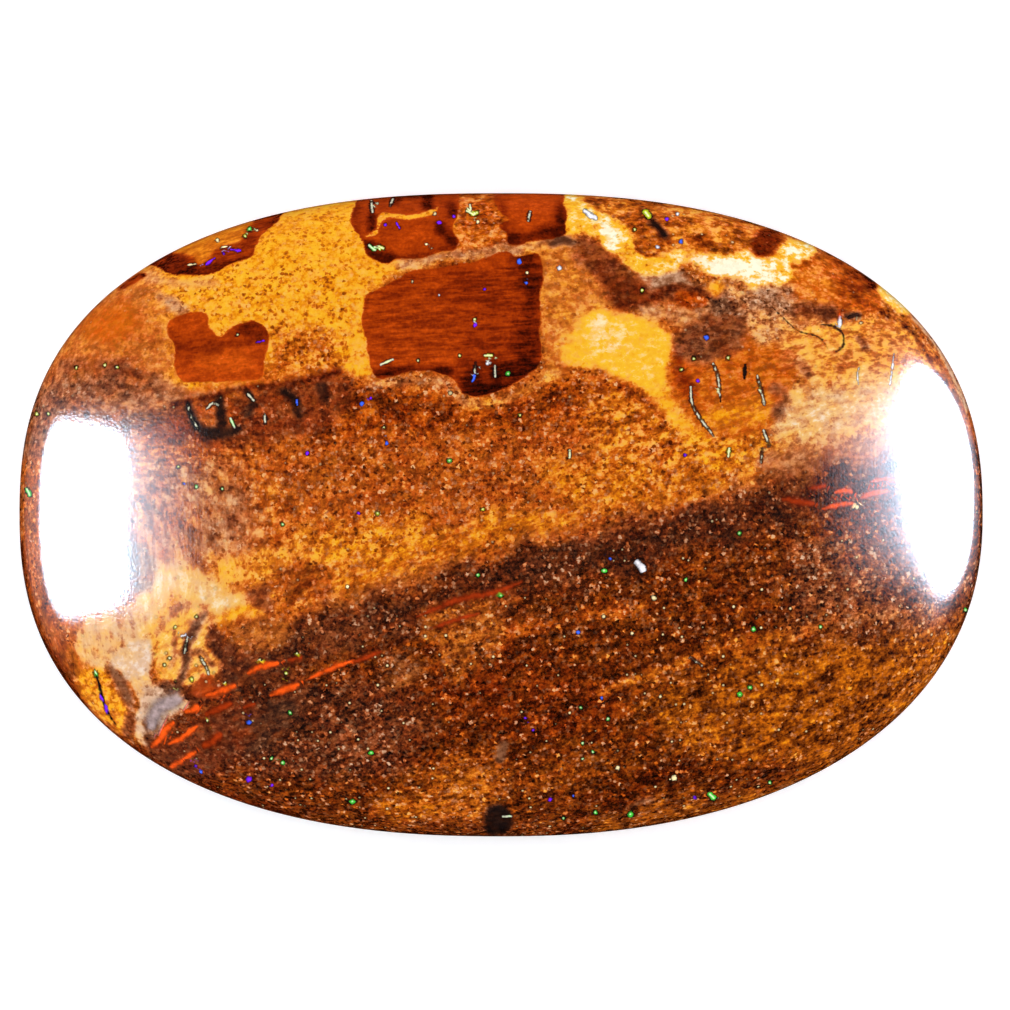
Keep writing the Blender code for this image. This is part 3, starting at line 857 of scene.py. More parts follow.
def linear(display):
    """A shader's colour for a colour as the screen shows it."""
    parts = [c / 12.92 if c <= 0.04045 else ((c + 0.055) / 1.055) ** 2.4 for c in display]
    return (*parts, 1.0)


def outline_factor(turn_x, turn_y):
    """How far out the outline lies in this direction, as a share of half the length and half the width."""
    side = "right" if turn_x >= 0 else "left"
    depth = "far" if turn_y >= 0 else "near"
    power = FULLNESS[side, depth]
    return (abs(turn_x) ** power + abs(turn_y) ** power) ** (-1 / power)


def add_outline(shape):
    """A ring of points on the girdle's upper edge."""
    bpy.ops.object.select_all(action="DESELECT")
    bpy.ops.mesh.primitive_circle_add(
        vertices=RIM_POINTS, radius=shape.length / 2, location=(0, 0, shape.girdle_high)
    )
    stone = bpy.context.object
    bpy.ops.object.transform_apply(location=True, rotation=False, scale=False)
    for vertex in stone.data.vertices:
        turn = math.atan2(vertex.co.y, vertex.co.x)
        across, along = math.cos(turn), math.sin(turn)
        factor = outline_factor(across, along)
        vertex.co.x = shape.length / 2 * across * factor
        vertex.co.y = shape.width / 2 * along * factor
    return stone


def fill_top():
    """Fills the ring with a grid of small squares."""
    bpy.ops.object.mode_set(mode="EDIT")
    bpy.ops.mesh.select_all(action="SELECT")
    bpy.ops.mesh.fill_grid(span=FILL_SPAN, offset=FILL_OFFSET)
    bpy.ops.object.mode_set(mode="OBJECT")


def read_points(mesh):
    points = np.empty(len(mesh.vertices) * 3)
    mesh.vertices.foreach_get("co", points)
    return points.reshape(-1, 3)


def share_out(x, y):
    """The share of the way from the middle to the outline, for points in half lengths and half widths."""
    power = np.where(
        x >= 0,
        np.where(y >= 0, FULLNESS["right", "far"], FULLNESS["right", "near"]),
        np.where(y >= 0, FULLNESS["left", "far"], FULLNESS["left", "near"]),
    )
    return (np.abs(x) ** power + np.abs(y) ** power) ** (1 / power)


def raise_dome(stone, shape):
    """Lifts the flat top into the dome, with its rows closer together where it turns down."""
    points = read_points(stone.data)
    share = share_out(points[:, 0] / (shape.length / 2), points[:, 1] / (shape.width / 2))
    inward = np.clip(1 - share, 0, 1)
    moved = 1 - (1 + ROW_CROWDING) * inward**2 / (inward + ROW_CROWDING)
    points[:, :2] *= (moved / np.maximum(share, 1e-9))[:, None]
    hold = np.clip(1 - moved**shape.dome_fullness, 0, 1) ** (1 / shape.dome_fullness)
    swell = np.zeros(len(points))
    for size, spacing, way in SWELLS:
        run = points[:, 0] * math.cos(way) + points[:, 1] * math.sin(way)
        swell += size * (np.sin(2 * math.pi * run / spacing) - 1) / 2
    points[:, 2] = shape.girdle_high + hold * (shape.height - shape.girdle_high + swell)
    stone.data.vertices.foreach_set("co", points.ravel())
    stone.data.update()


def add_edge_and_back(shape):
    """Draws the rim down into the girdle, round into the bevel, and closes the flat back."""
    bpy.ops.object.mode_set(mode="EDIT")
    bpy.ops.mesh.select_mode(type="EDGE")
    bpy.ops.mesh.select_all(action="DESELECT")
    bpy.ops.mesh.select_non_manifold()
    drop = shape.girdle_low - shape.girdle_high
    bpy.ops.mesh.extrude_region_move(TRANSFORM_OT_translate={"value": (0, 0, drop)})
    inset, height = 0.0, shape.girdle_low
    half_length, half_width = shape.length / 2, shape.width / 2
    for step in range(1, BEVEL_STEPS + 1):
        lean = math.pi / 2 * step / BEVEL_STEPS
        next_inset = shape.bevel * (1 - math.cos(lean))
        next_height = shape.girdle_low * (1 - math.sin(lean))
        bpy.ops.mesh.extrude_region_move(TRANSFORM_OT_translate={"value": (0, 0, next_height - height)})
        along = (half_length - next_inset) / (half_length - inset)
        across = (half_width - next_inset) / (half_width - inset)
        bpy.ops.transform.resize(value=(along, across, 1), center_override=(0, 0, 0))
        inset, height = next_inset, next_height
    bpy.ops.mesh.edge_face_add()
    bpy.ops.mesh.select_all(action="SELECT")
    bpy.ops.mesh.normals_make_consistent(inside=False)
    bpy.ops.object.mode_set(mode="OBJECT")


def shape_stone(shape):
    stone = add_outline(shape)
    stone.name = stone.data.name = "boulder_opal"
    fill_top()
    raise_dome(stone, shape)
    add_edge_and_back(shape)
    bpy.ops.object.shade_smooth_by_angle(angle=SHARP_FROM)
    return stone


def unevenness(x, y):
    """A rough field from about -1 to 1, by which the markings' edges stray."""
    total = np.zeros(len(x))
    for size, strength, level in UNEVENNESS:
        total += [strength * noise.noise(Vector((a / size, b / size, level))) for a, b in zip(x, y)]
    return total


def cover_of(area, x, y, rough):
    """How fully the marking covers each place, from 0 to 1."""
    margin = area.soft + 2 * area.uneven + (area.half_width or 0)
    corners = np.array(area.points, float)
    low, high = corners.min(0) - margin, corners.max(0) + margin
    near = (x > low[0]) & (x < high[0]) & (y > low[1]) & (y < high[1])
    cover = np.zeros(x.shape)
    if area.half_width is None:
        depth = depth_inside(area.points, x[near], y[near])
    else:
        depth = area.half_width - distance_to(smooth_line(area.points, closed=False), x[near], y[near])
    depth = depth + area.uneven * rough[near]
    cover[near] = area.cover * smoothstep(-area.soft, area.soft, depth)
    return cover


def lay_areas(look, areas, x, y, rough):
    """Lays the markings over each other in order."""
    for area in areas:
        cover = cover_of(area, x, y, rough)
        for part, value in area.look._asdict().items():
            if value is not None:
                look[part] += cover * (value - look[part])


def bedding_line(x):
    """Where the bedding's dark seam crosses the chart."""
    return SEAM_Y - SEAM_RISE * (x - SEAM_X) + SEAM_BEND * (x - SEAM_X) ** 2


def across_bedding(x, y):
    """The place across the bedding, which rises to the right below the seam and is flatter far above it."""
    above = bedding_line(x) - y
    steepness = 1 - (1 - FLAT_BEDDING) * smoothstep(STEEP_ABOVE, FLAT_ABOVE, above)
    return y - steepness * (bedding_line(x) - SEAM_Y)


def store(mesh, name, values):
    mesh.attributes.new(name, "FLOAT", "POINT").data.foreach_set("value", values.astype(np.float32))


def store_vectors(mesh, name, values):
    attribute = mesh.attributes.new(name, "FLOAT_VECTOR", "POINT")
    attribute.data.foreach_set("vector", values.astype(np.float32).ravel())


def place_along(line, x, y):
    """Each place's distance from the line, and its place along it and across it."""
    gap, along, across = (np.full(x.shape, np.inf) for _ in range(3))
    start_of_piece = 0.0
    last = len(line) - 2
    for i, (start, end) in enumerate(zip(line[:-1], line[1:])):
        size = math.dist(start, end)
        way = (np.array(end) - start) / size if size else np.array((1.0, 0.0))
        run = (x - start[0]) * way[0] + (y - start[1]) * way[1]
        side = (x - start[0]) * way[1] - (y - start[1]) * way[0]
        beyond = np.maximum(np.maximum(-run, run - size), 0)
        piece_gap = np.hypot(beyond, side)
        run = np.clip(run, -np.inf if i == 0 else 0, np.inf if i == last else size)
        nearer = piece_gap < gap
        gap = np.where(nearer, piece_gap, gap)
        along = np.where(nearer, start_of_piece + run, along)
        across = np.where(nearer, side, across)
        start_of_piece += size
    return gap, along - start_of_piece / 2, across, start_of_piece / 2


def between_fires(mesh, owner):
    """The points that share an edge with a point that is nearest to another line or fleck."""
    ends = np.empty(len(mesh.edges) * 2, np.int32)
    mesh.edges.foreach_get("vertices", ends)
    ends = ends.reshape(-1, 2)
    differ = (owner[ends[:, 0]] != owner[ends[:, 1]]) & (owner[ends] > 0).all(1)
    between = np.zeros(len(owner), bool)
    between[ends[differ].ravel()] = True
    return between


def store_fires(mesh, colours, x, y):
    """Writes to each point its place along and across the nearest line or fleck, with its size and colour."""
    nearest = np.full(x.shape, FIRE_REACH)
    owner = np.zeros(x.shape, int)
    number = 0
    place, size, colour = (np.zeros((len(x), 3)) for _ in range(3))
    for name, strokes in FIRES.items():
        fire = linear(getattr(colours, name))[:3]
        for stroke in strokes:
            number += 1
            line = [np.array(point, float) for point in stroke.points]
            if len(line) > 2:
                line = smooth_line(stroke.points, closed=False)
            if len(line) == 1:
                line = line * 2
            margin = FIRE_REACH + FIRE_MARGIN
            low, high = np.min(line, 0) - margin, np.max(line, 0) + margin
            near = np.flatnonzero((x > low[0]) & (x < high[0]) & (y > low[1]) & (y < high[1]))
            gap, along, across, reach = place_along(line, x[near], y[near])
            gap -= stroke.half_width
            won = gap < nearest[near]
            here = near[won]
            nearest[here] = gap[won]
            owner[here] = number
            place[here, 0], place[here, 1] = along[won], across[won]
            size[here] = reach, stroke.half_width, RINGS[name]
            colour[here] = fire
    place[:, 2] = smoothstep(FIRE_REACH, FIRE_REACH - FIRE_FADE, nearest)
    place[between_fires(mesh, owner) & (nearest > FIRE_CLOSE), 2] = 0
    store_vectors(mesh, "fire_place", place)
    store_vectors(mesh, "fire_size", size)
    store_vectors(mesh, "fire_colour", colour)


# The depth inside a patch is stored up to this, in chart units
PATCH_REACH = 30.0


def patch_depth(x, y):
    """How far inside the nearest patch each place is, and below 0 outside them all."""
    depth = np.full(len(x), -PATCH_REACH)
    for outline in PATCHES:
        depth = np.maximum(depth, np.clip(depth_inside(outline, x, y), -PATCH_REACH, PATCH_REACH))
    return depth


def mark_stone(stone, shape, colours):
    """Writes the markings to the mesh: what the ground and the patches are like at each point."""
    points = read_points(stone.data)
    x = CHART_MIDDLE[0] + CHART_PER_METRE * points[:, 0]
    y = CHART_MIDDLE[1] - CHART_PER_METRE * points[:, 1]
    rough = unevenness(x, y)
    ground = {part: np.full(len(x), value) for part, value in BASE._asdict().items()}
    for areas in (MIDDLE_AREAS, UPPER_AREAS, SEAM_AREAS, LOWER_LEFT_AREAS, DARK_AREAS):
        lay_areas(ground, areas, x, y, rough)
    top = smoothstep(0, shape.girdle_low, points[:, 2])
    for part, value in BACK._asdict().items():
        store(stone.data, part, value + top * (ground[part] - value))
    given = {part: value for part, value in PATCH_BASE._asdict().items() if value is not None}
    patch = {part: np.full(len(x), value) for part, value in given.items()}
    lay_areas(patch, PATCH_AREAS, x, y, rough)
    store(stone.data, "patch_edge", np.where(top > 0.5, patch_depth(x, y), -PATCH_REACH))
    for part in ("tone", "rust", "stripe"):
        store(stone.data, f"patch_{part}", patch[part])
    store(stone.data, "top", top)
    store(stone.data, "across", across_bedding(x, y))
    store_fires(stone.data, colours, x, y)


# The ironstone's cloudy fields: the size of each one's features in chart units, and how many times
# longer they are along the bedding than across it
FINE_SIZE = 2.8
MIDDLING_SIZE, MIDDLING_STRETCH = 7.5, 1.3
BROAD_SIZE, BROAD_STRETCH = 21, 1.5
CLUSTER_SIZE, CLUSTER_STRETCH = 17, 1.8
LINES_SIZE, LINES_STRETCH = 4.6, 5.5
REDNESS_SIZE, REDNESS_STRETCH = 15, 1.5
CLAY_SIZE = 14
SHIMMER_SIZE = 7

# How strongly the mottling and the bedding lines show, more so where the ironstone is light.
# Mottling over full shows in the broad blotches alone.
LINES_STRENGTH = 0.5
FULL_MOTTLE = 1.1
BROAD_STRENGTH, OVERFULL_STRENGTH = 0.32, 1.1
LIGHT_CONTRAST, DARK_CONTRAST = 0.9, 0.30

# The sand: its grains' size and how uneven they are. Pale grains stand where the grains crowd, and
# dark pores where they are sparse.
GRAIN_SIZE = 4.1
GRAIN_STRAY_SIZE, GRAIN_STRAY = 2.6, 1.9
CLUSTER_STRENGTH = 0.9
SPECK_EDGE, SPECK_CROWDING = (0.72, 0.25), (0.52, 0.68)
SPECK_BRIGHT, SPECK_DIM = 0.85, 0.22
PORE_EDGE, PORE_CROWDING = (0.68, 0.30), (0.36, 0.20)
PALE_STRENGTH, PORE_STRENGTH = 0.70, -0.46
FINE_STRENGTH, GRAIN_STRENGTH = 0.50, 0.14
PALE_SAND_EDGE, PALE_SAND_CROWDING = (0.66, 0.3), (0.66, 0.84)

# Above this tone the ground's tones lie closer together
BRIGHT_TONE = 0.82
BRIGHT_SQUEEZE = -0.70

# How unevenly the red and the clay are spread
REDNESS_STRENGTH, GRAIN_REDNESS = 0.9, 0.4
CLAY_STRENGTH = 2.6

# The patches' grain, mottling and blotches, and how far the same fields move their edges
PATCH_FINE, PATCH_MIDDLING, PATCH_BROAD = 0.22, 0.22, 0.14
EDGE_MIDDLING, EDGE_FINE = 4.0, 2.4

# The pale grains that sparkle: how far apart they lie, their sizes as shares of that, and how many
# of the places for them are taken
SPARK_SPACING = 9.5
SPARK_SIZE_RANGE, SPARK_SIZE = 0.08, 0.06
SPARK_CHANCE = (0.58, 0.62)
SPARK_RING_EDGE, SPARK_RING_STRENGTH = (0.22, 0.04), 0.6
SPARK_EDGE = (0.05, -0.08)

# The opal's lines and flecks: the longer ones taper, and their edges and brightness are uneven
TAPER_LENGTH, TAPER_POWER = (3.0, 5.0), 4.0
FIRE_EDGE_FINE, FIRE_EDGE_SHIMMER, FIRE_INSET = 3.0, -2.5, 0.5
RING_EDGE, RING_STRENGTH = (0.8, -0.6), 0.85
PLAIN_SOFTNESS, LEAST_SOFTNESS = 1.3, 0.5
MIDDLE_GLOW, EVEN_GLOW, END_GLOW, SHIMMER_GLOW = 0.7, 0.55, 0.22, 2.4

# The bright heart of a fleck, which only markings with a wide dark ring have. On the silver seams it is a
# painted highlight of the polish; on the green and lime flecks it is their palest fire.
HEART_AND_GLINT_COLOUR = (1.0, 1.0, 0.75, 1.0)
HEART_EDGE, HEART_FINE, HEART_STRENGTH = (1.3, 0.3), 1.6, 0.7
HEART_RING = (0.9, 1.2)
HEART_LIT, HEART_RING_SHARE = (-0.62, -0.48), -0.3

# The polish marks run up and down the chart
POLISH_STRETCH = (1.0, 0.09, 1.0)
POLISH_SIZE, POLISH_STRENGTH = 2.2, 0.4

# Where each step of colour lies between tone 0 and tone 1
OCHRE_TONES = (0, 0.15, 0.30, 0.45, 0.60, 0.75, 0.90, 1.0)
RUST_TONES = (0, 0.15, 0.30, 0.45, 0.60, 1.0)
ASH_TONES = (0, 0.15, 0.30, 0.47, 0.68, 0.88, 1.0)


class StoneShader(Wiring):
    """The stone's colour: its markings, read from the mesh, with grains that are too fine for it."""

    def __init__(self, tree, colours):
        super().__init__(tree)
        self.colours = colours
        coordinates = self.node("ShaderNodeTexCoord").outputs["Object"]
        scale = (CHART_PER_METRE, -CHART_PER_METRE, CHART_PER_METRE)
        self.place = self.vector("MULTIPLY_ADD", coordinates, scale, (*CHART_MIDDLE, 0))
        self.parts = self.node("ShaderNodeSeparateXYZ", {0: self.place}).outputs
        self.top = self.attribute("top")
        self.grain = self.attribute("grain")
        self.fine = self.noise(self.place, FINE_SIZE, detail=1)
        self.across = self.attribute("across")
        self.middling = self.blotchy(
            self.noise(self.layered(MIDDLING_STRETCH), MIDDLING_SIZE, detail=3, roughness=0.62)
        )
        self.broad = self.blotchy(self.noise(self.layered(BROAD_STRETCH), BROAD_SIZE, detail=3))
        self.cluster = self.noise(self.layered(CLUSTER_STRETCH), CLUSTER_SIZE, detail=1)
        self.lines = self.blotchy(self.noise(self.layered(LINES_STRETCH), LINES_SIZE))

    def layered(self, stretch):
        """The place in the bedding: along it, squeezed by the stretch, and across it."""
        along = self.times(self.parts[0], 1 / stretch)
        return self.node("ShaderNodeCombineXYZ", {0: along, 1: self.across, 2: self.parts[2]}).outputs[0]

    def mottled_tone(self):
        """How light the ironstone is, with its mottling and bedding lines."""
        stripe = self.times(self.attribute("stripe"), LINES_STRENGTH)
        mottle = self.attribute("mottle")
        overfull = self.maths("MAXIMUM", self.maths("SUBTRACT", mottle, FULL_MOTTLE), 0.0)
        pattern = self.times(self.middling, self.maths("MINIMUM", mottle, FULL_MOTTLE))
        broadly = self.times_plus(mottle, BROAD_STRENGTH, self.times(overfull, OVERFULL_STRENGTH))
        pattern = self.times_plus(self.broad, broadly, pattern)
        pattern = self.times_plus(self.lines, stripe, pattern)
        tone = self.attribute("tone")
        return self.times_plus(pattern, self.times_plus(tone, LIGHT_CONTRAST, DARK_CONTRAST), tone)

    def lay_sand(self, tone):
        """The tone with its sand grains and pores. Keeps what the colours need of them."""
        strayed = self.strayed(self.place, GRAIN_STRAY_SIZE, GRAIN_STRAY)
        self.grain_gap, grain_light, grain_pick = self.grains(strayed, GRAIN_SIZE)
        self.lightness = self.maths("SUBTRACT", grain_light, 0.5)
        self.crowded = self.times_plus(self.cluster, CLUSTER_STRENGTH, grain_pick)
        speck = self.times(self.step(self.grain_gap, *SPECK_EDGE), self.step(self.crowded, *SPECK_CROWDING))
        brilliance = self.maths("POWER", grain_light, 3.0)
        speck = self.times(speck, self.times_plus(brilliance, SPECK_BRIGHT, SPECK_DIM))
        pore = self.times(self.step(self.grain_gap, *PORE_EDGE), self.step(self.crowded, *PORE_CROWDING))
        self.room = self.maths("MAXIMUM", self.maths("SUBTRACT", 1.0, tone), 0.0)
        pale = self.times(self.times(speck, self.room), PALE_STRENGTH)
        dark = self.times(self.times(pore, tone), PORE_STRENGTH)
        sand = self.times_plus(self.fine, FINE_STRENGTH, self.times(self.lightness, GRAIN_STRENGTH))
        sand = self.plus(self.plus(pale, dark), sand)
        return self.times_plus(sand, self.grain, tone)

    def with_patches(self, tone):
        """The tone with the wood-like patches in it. Keeps where they are."""
        over = self.maths("MAXIMUM", self.maths("SUBTRACT", tone, BRIGHT_TONE), 0.0)
        tone = self.times_plus(over, BRIGHT_SQUEEZE, tone)
        patch_tone = self.times_plus(self.fine, PATCH_FINE, self.attribute("patch_tone"))
        patch_tone = self.times_plus(self.middling, PATCH_MIDDLING, patch_tone)
        patch_tone = self.times_plus(self.broad, PATCH_BROAD, patch_tone)
        patch_tone = self.times_plus(self.lines, self.attribute("patch_stripe"), patch_tone)
        depth = self.times_plus(self.middling, EDGE_MIDDLING, self.attribute("patch_edge"))
        depth = self.times_plus(self.fine, EDGE_FINE, depth)
        self.in_patch = self.step(depth, -1.0, 1.0)
        return self.mix(self.in_patch, tone, patch_tone)

    def redness(self):
        """How far the ironstone is red rather than ochre."""
        cloud = self.noise(self.layered(REDNESS_STRETCH), REDNESS_SIZE, detail=4)
        rust = self.times_plus(cloud, REDNESS_STRENGTH, self.attribute("rust"))
        rust = self.times_plus(self.lightness, GRAIN_REDNESS, rust)
        return self.mix(self.in_patch, self.clamped(rust), self.attribute("patch_rust"))

    def greyness(self):
        """How far it is clay or pale sand."""
        clay = self.times_plus(self.noise(self.place, CLAY_SIZE, detail=3), CLAY_STRENGTH, 1.0)
        pale_sand = self.times(
            self.step(self.grain_gap, *PALE_SAND_EDGE), self.step(self.crowded, *PALE_SAND_CROWDING)
        )
        pale_sand = self.times(self.times(pale_sand, self.grain), self.room)
        ash = self.times_plus(self.attribute("ash"), clay, pale_sand)
        return self.mix(self.in_patch, self.clamped(ash), 0.0)

    def through(self, kind, tones, tone):
        """The colours of one kind of ironstone for a tone."""
        stops = [(at, linear(getattr(self.colours, f"{kind}_{i}"))) for i, at in enumerate(tones)]
        return self.ramp(tone, stops)

    def ironstone(self):
        """The ironstone's colour, before the opal is laid on it."""
        tone = self.with_patches(self.lay_sand(self.mottled_tone()))
        rust, ash = self.redness(), self.greyness()
        ochre = self.through("ochre", OCHRE_TONES, tone)
        red = self.through("rust", RUST_TONES, tone)
        grey = self.through("ash", ASH_TONES, tone)
        colour = self.mix_colour(rust, ochre, red)
        return self.mix_colour(ash, colour, grey)

    def with_sparks(self, colour):
        """Small pale grains, each in a dark ring, which the patches don't have."""
        gap, light, pick = self.grains(self.place, SPARK_SPACING)
        size = self.times_plus(light, SPARK_SIZE_RANGE, SPARK_SIZE)
        picked = self.times(self.step(pick, *SPARK_CHANCE), self.attribute("sparkle"))
        picked = self.times(picked, self.maths("SUBTRACT", 1.0, self.in_patch))
        gap = self.maths("SUBTRACT", gap, size)
        ring = self.times(self.step(gap, *SPARK_RING_EDGE), picked)
        dark = linear(self.colours.ochre_0)
        colour = self.mix_colour(self.times(ring, SPARK_RING_STRENGTH), colour, dark)
        body = self.times(self.step(gap, *SPARK_EDGE), picked)
        return self.mix_colour(body, colour, linear(self.colours.cream))

    def read_fires(self):
        """Reads the nearest line or fleck: the place by it, its size and its colour."""
        place = self.vector_attribute("fire_place")
        self.fire_place = self.node("ShaderNodeSeparateXYZ", {0: place}).outputs
        size = self.vector_attribute("fire_size")
        self.reach, self.half_width, self.ring_width = self.node("ShaderNodeSeparateXYZ", {0: size}).outputs
        self.fire = self.vector_attribute("fire_colour")

    def measure_fires(self):
        """Works out the distance from the marking's middle line, from its uneven edge, and where it is."""
        beyond = self.maths("SUBTRACT", self.maths("ABSOLUTE", self.fire_place[0]), self.reach)
        beyond = self.maths("MAXIMUM", beyond, 0.0)
        gap = self.node("ShaderNodeCombineXYZ", {0: beyond, 1: self.fire_place[1], 2: 0.0}).outputs[0]
        self.from_line = self.vector("LENGTH", gap)
        self.share = self.maths("DIVIDE", self.fire_place[0], self.plus(self.reach, self.half_width))
        taper = self.times(self.maths("POWER", self.share, TAPER_POWER), self.step(self.reach, *TAPER_LENGTH))
        self.half_width = self.times(self.half_width, self.maths("SUBTRACT", 1.0, taper))
        gap = self.maths("SUBTRACT", self.from_line, self.half_width)
        self.shimmer = self.noise(self.place, SHIMMER_SIZE)
        gap = self.times_plus(self.fine, FIRE_EDGE_FINE, self.plus(gap, FIRE_INSET))
        self.gap = self.times_plus(self.shimmer, FIRE_EDGE_SHIMMER, gap)
        self.here = self.times(self.top, self.fire_place[2])

    def with_rings(self, colour):
        """The dark clay round each fleck."""
        around = self.maths("SUBTRACT", self.gap, self.ring_width)
        ring = self.times(self.step(around, *RING_EDGE), self.here)
        return self.mix_colour(self.times(ring, RING_STRENGTH), colour, linear(self.colours.ash_0))

    def with_fires(self, colour):
        """The lines and flecks themselves, brighter along the middle."""
        softness = self.maths("SUBTRACT", PLAIN_SOFTNESS, self.ring_width)
        softness = self.maths("MAXIMUM", softness, LEAST_SOFTNESS)
        body = self.times(self.step(self.maths("DIVIDE", self.gap, softness), 1.0, -1.0), self.here)
        glow = self.times_plus(self.step(self.from_line, self.half_width, 0.0), MIDDLE_GLOW, EVEN_GLOW)
        glow = self.times_plus(self.share, END_GLOW, glow)
        fire = self.scaled(self.fire, self.times_plus(self.shimmer, SHIMMER_GLOW, glow))
        return self.mix_colour(body, colour, fire)

    def with_hearts_and_glints(self, colour):
        """The brightest points of the opal: the palest fire of green and lime flecks, and a painted highlight
        along the silver seams.
        """
        heart = self.step(self.times_plus(self.fine, HEART_FINE, self.from_line), *HEART_EDGE)
        heart = self.times(heart, self.times(self.here, self.step(self.ring_width, *HEART_RING)))
        lit = self.times_plus(self.ring_width, HEART_RING_SHARE, self.shimmer)
        heart = self.times(heart, self.step(lit, *HEART_LIT))
        return self.mix_colour(self.times(heart, HEART_STRENGTH), colour, HEART_AND_GLINT_COLOUR)

    def polish_marks(self, height):
        """The grains and fine upright marks that the polish left, as a slope of the gloss."""
        upright = self.vector("MULTIPLY", self.place, POLISH_STRETCH)
        marks = self.times_plus(self.noise(upright, POLISH_SIZE, detail=1), POLISH_STRENGTH, self.fine)
        return self.node("ShaderNodeBump", {"Height": marks, "Distance": height}).outputs[0]


def stone_material(colours, finish):
    material = bpy.data.materials.new("polished boulder opal")
    material.use_nodes = True
    wiring = StoneShader(material.node_tree, colours)
    colour = wiring.with_sparks(wiring.ironstone())
    wiring.read_fires()
    wiring.measure_fires()
    colour = wiring.with_hearts_and_glints(wiring.with_fires(wiring.with_rings(colour)))
    shader = material.node_tree.nodes["Principled BSDF"]
    wiring.tree.links.new(colour, shader.inputs["Base Color"])
    shader.inputs["Roughness"].default_value = finish.roughness
    shader.inputs["Specular IOR Level"].default_value = finish.sheen_lift
    shader.inputs["Coat Weight"].default_value = 1.0
    shader.inputs["Coat Roughness"].default_value = finish.gloss_roughness
    wiring.tree.links.new(wiring.polish_marks(finish.texture_height), shader.inputs["Coat Normal"])
    return material


class OPAL_OT_add_stone(bpy.types.Operator):
    """Cuts the cabochon, lays its markings and polishes it"""

    bl_idname = "opal.add_stone"
    bl_label = "Add stone"

    def execute(self, context):
        shape = context.scene.opal_shape
        stone = shape_stone(shape)
        mark_stone(stone, shape, context.scene.opal_colours)
        stone.data.materials.append(stone_material(context.scene.opal_colours, context.scene.opal_finish))
        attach(stone, "root")
        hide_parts(STONE_NODE)
        return {"FINISHED"}


# Each softbox's middle and size along Y and Z, as shares of its distance from the stone; how square
# its outline is, and how far and how strongly the haze round it reaches, as shares of its own.
LEFT_SOFTBOX = {
    "centre": (-0.035, 0.55), "size": (0.64, 1.12), "roundness": 4.4, "haze": 0.52, "fall": 0.66,
    "colour": (0.62, 0.81, 1.0),
}
RIGHT_SOFTBOX = {
    "centre": (0.155, 0.17), "size": (0.84, 1.29), "roundness": 1.8, "haze": 0.92, "fall": 0.40,
    "colour": (0.68, 0.80, 1.0),
}

# The softbox's bright core takes this share of the light's width, and ends this softly
SOFTBOX_CORE = 0.36
SOFTBOX_EDGE = 0.12

# Sideways the haze falls away faster than upwards, and it ends before the light's own edge. Low down
# it is fainter, from these heights on the light's face.
SIDE_FALL = 0.11
HAZE_END = 0.7
LOW_HAZE_HEIGHTS = (0.36, 0.56)
LOW_HAZE = 0.13


# The floor lies just under the stone, and shines a little by itself so that it stays white
FLOOR_SIZE, FLOOR_HEIGHT = 4.0, -0.00002
FLOOR_WHITE, FLOOR_GLOW = 0.9, 0.3
FLOOR_ROUGHNESS = 0.6


def add_floor():
    bpy.ops.object.select_all(action="DESELECT")
    bpy.ops.mesh.primitive_plane_add(size=FLOOR_SIZE, location=(0, 0, FLOOR_HEIGHT))
    floor = bpy.context.object
    floor.name = "studio_floor"
    material = bpy.data.materials.new("white acrylic")
    material.use_nodes = True
    shader = material.node_tree.nodes["Principled BSDF"]
    shader.inputs["Base Color"].default_value = (FLOOR_WHITE, FLOOR_WHITE, FLOOR_WHITE, 1)
    shader.inputs["Roughness"].default_value = FLOOR_ROUGHNESS
    shader.inputs["Emission Color"].default_value = (1, 1, 1, 1)
    shader.inputs["Emission Strength"].default_value = FLOOR_GLOW
    floor.data.materials.append(material)
    floor.visible_glossy = False
    floor.visible_shadow = False


def softbox_strength(wiring, roundness, haze, fall):
    """The softbox's even bright core and the haze round it, over the light's face."""
    on_face = wiring.node("ShaderNodeNewGeometry").outputs["Parametric"]
    from_middle = wiring.vector("ABSOLUTE", wiring.vector("MULTIPLY_ADD", on_face, (2, 2, 0), (-1, -1, 0)))
    parts = wiring.node("ShaderNodeSeparateXYZ", {0: from_middle}).outputs
    powers = [wiring.maths("POWER", parts[i], roundness) for i in range(2)]
    reach = wiring.maths("POWER", wiring.plus(*powers), 1 / roundness)
    reach = wiring.maths("DIVIDE", reach, SOFTBOX_CORE)
    core = wiring.step(reach, 1 + SOFTBOX_EDGE, 1 - SOFTBOX_EDGE)
    squares = [wiring.maths("POWER", parts[i], 2.0) for i in range(2)]
    upright = wiring.maths("POWER", wiring.maths("DIVIDE", squares[1], wiring.plus(*squares)), 2.0)
    fall = wiring.mix(upright, SIDE_FALL, fall)
    faded = wiring.maths("EXPONENT", wiring.maths("DIVIDE", wiring.maths("SUBTRACT", 1.0, reach), fall))
    height = wiring.node("ShaderNodeSeparateXYZ", {0: on_face}).outputs[1]
    faded = wiring.times(faded, wiring.mix(wiring.step(height, *LOW_HAZE_HEIGHTS), LOW_HAZE, 1.0))
    ending = wiring.step(reach, 1 / SOFTBOX_CORE, HAZE_END / SOFTBOX_CORE)
    return wiring.maths("MINIMUM", wiring.plus(core, wiring.times(wiring.times(faded, haze), ending)), 1.0)


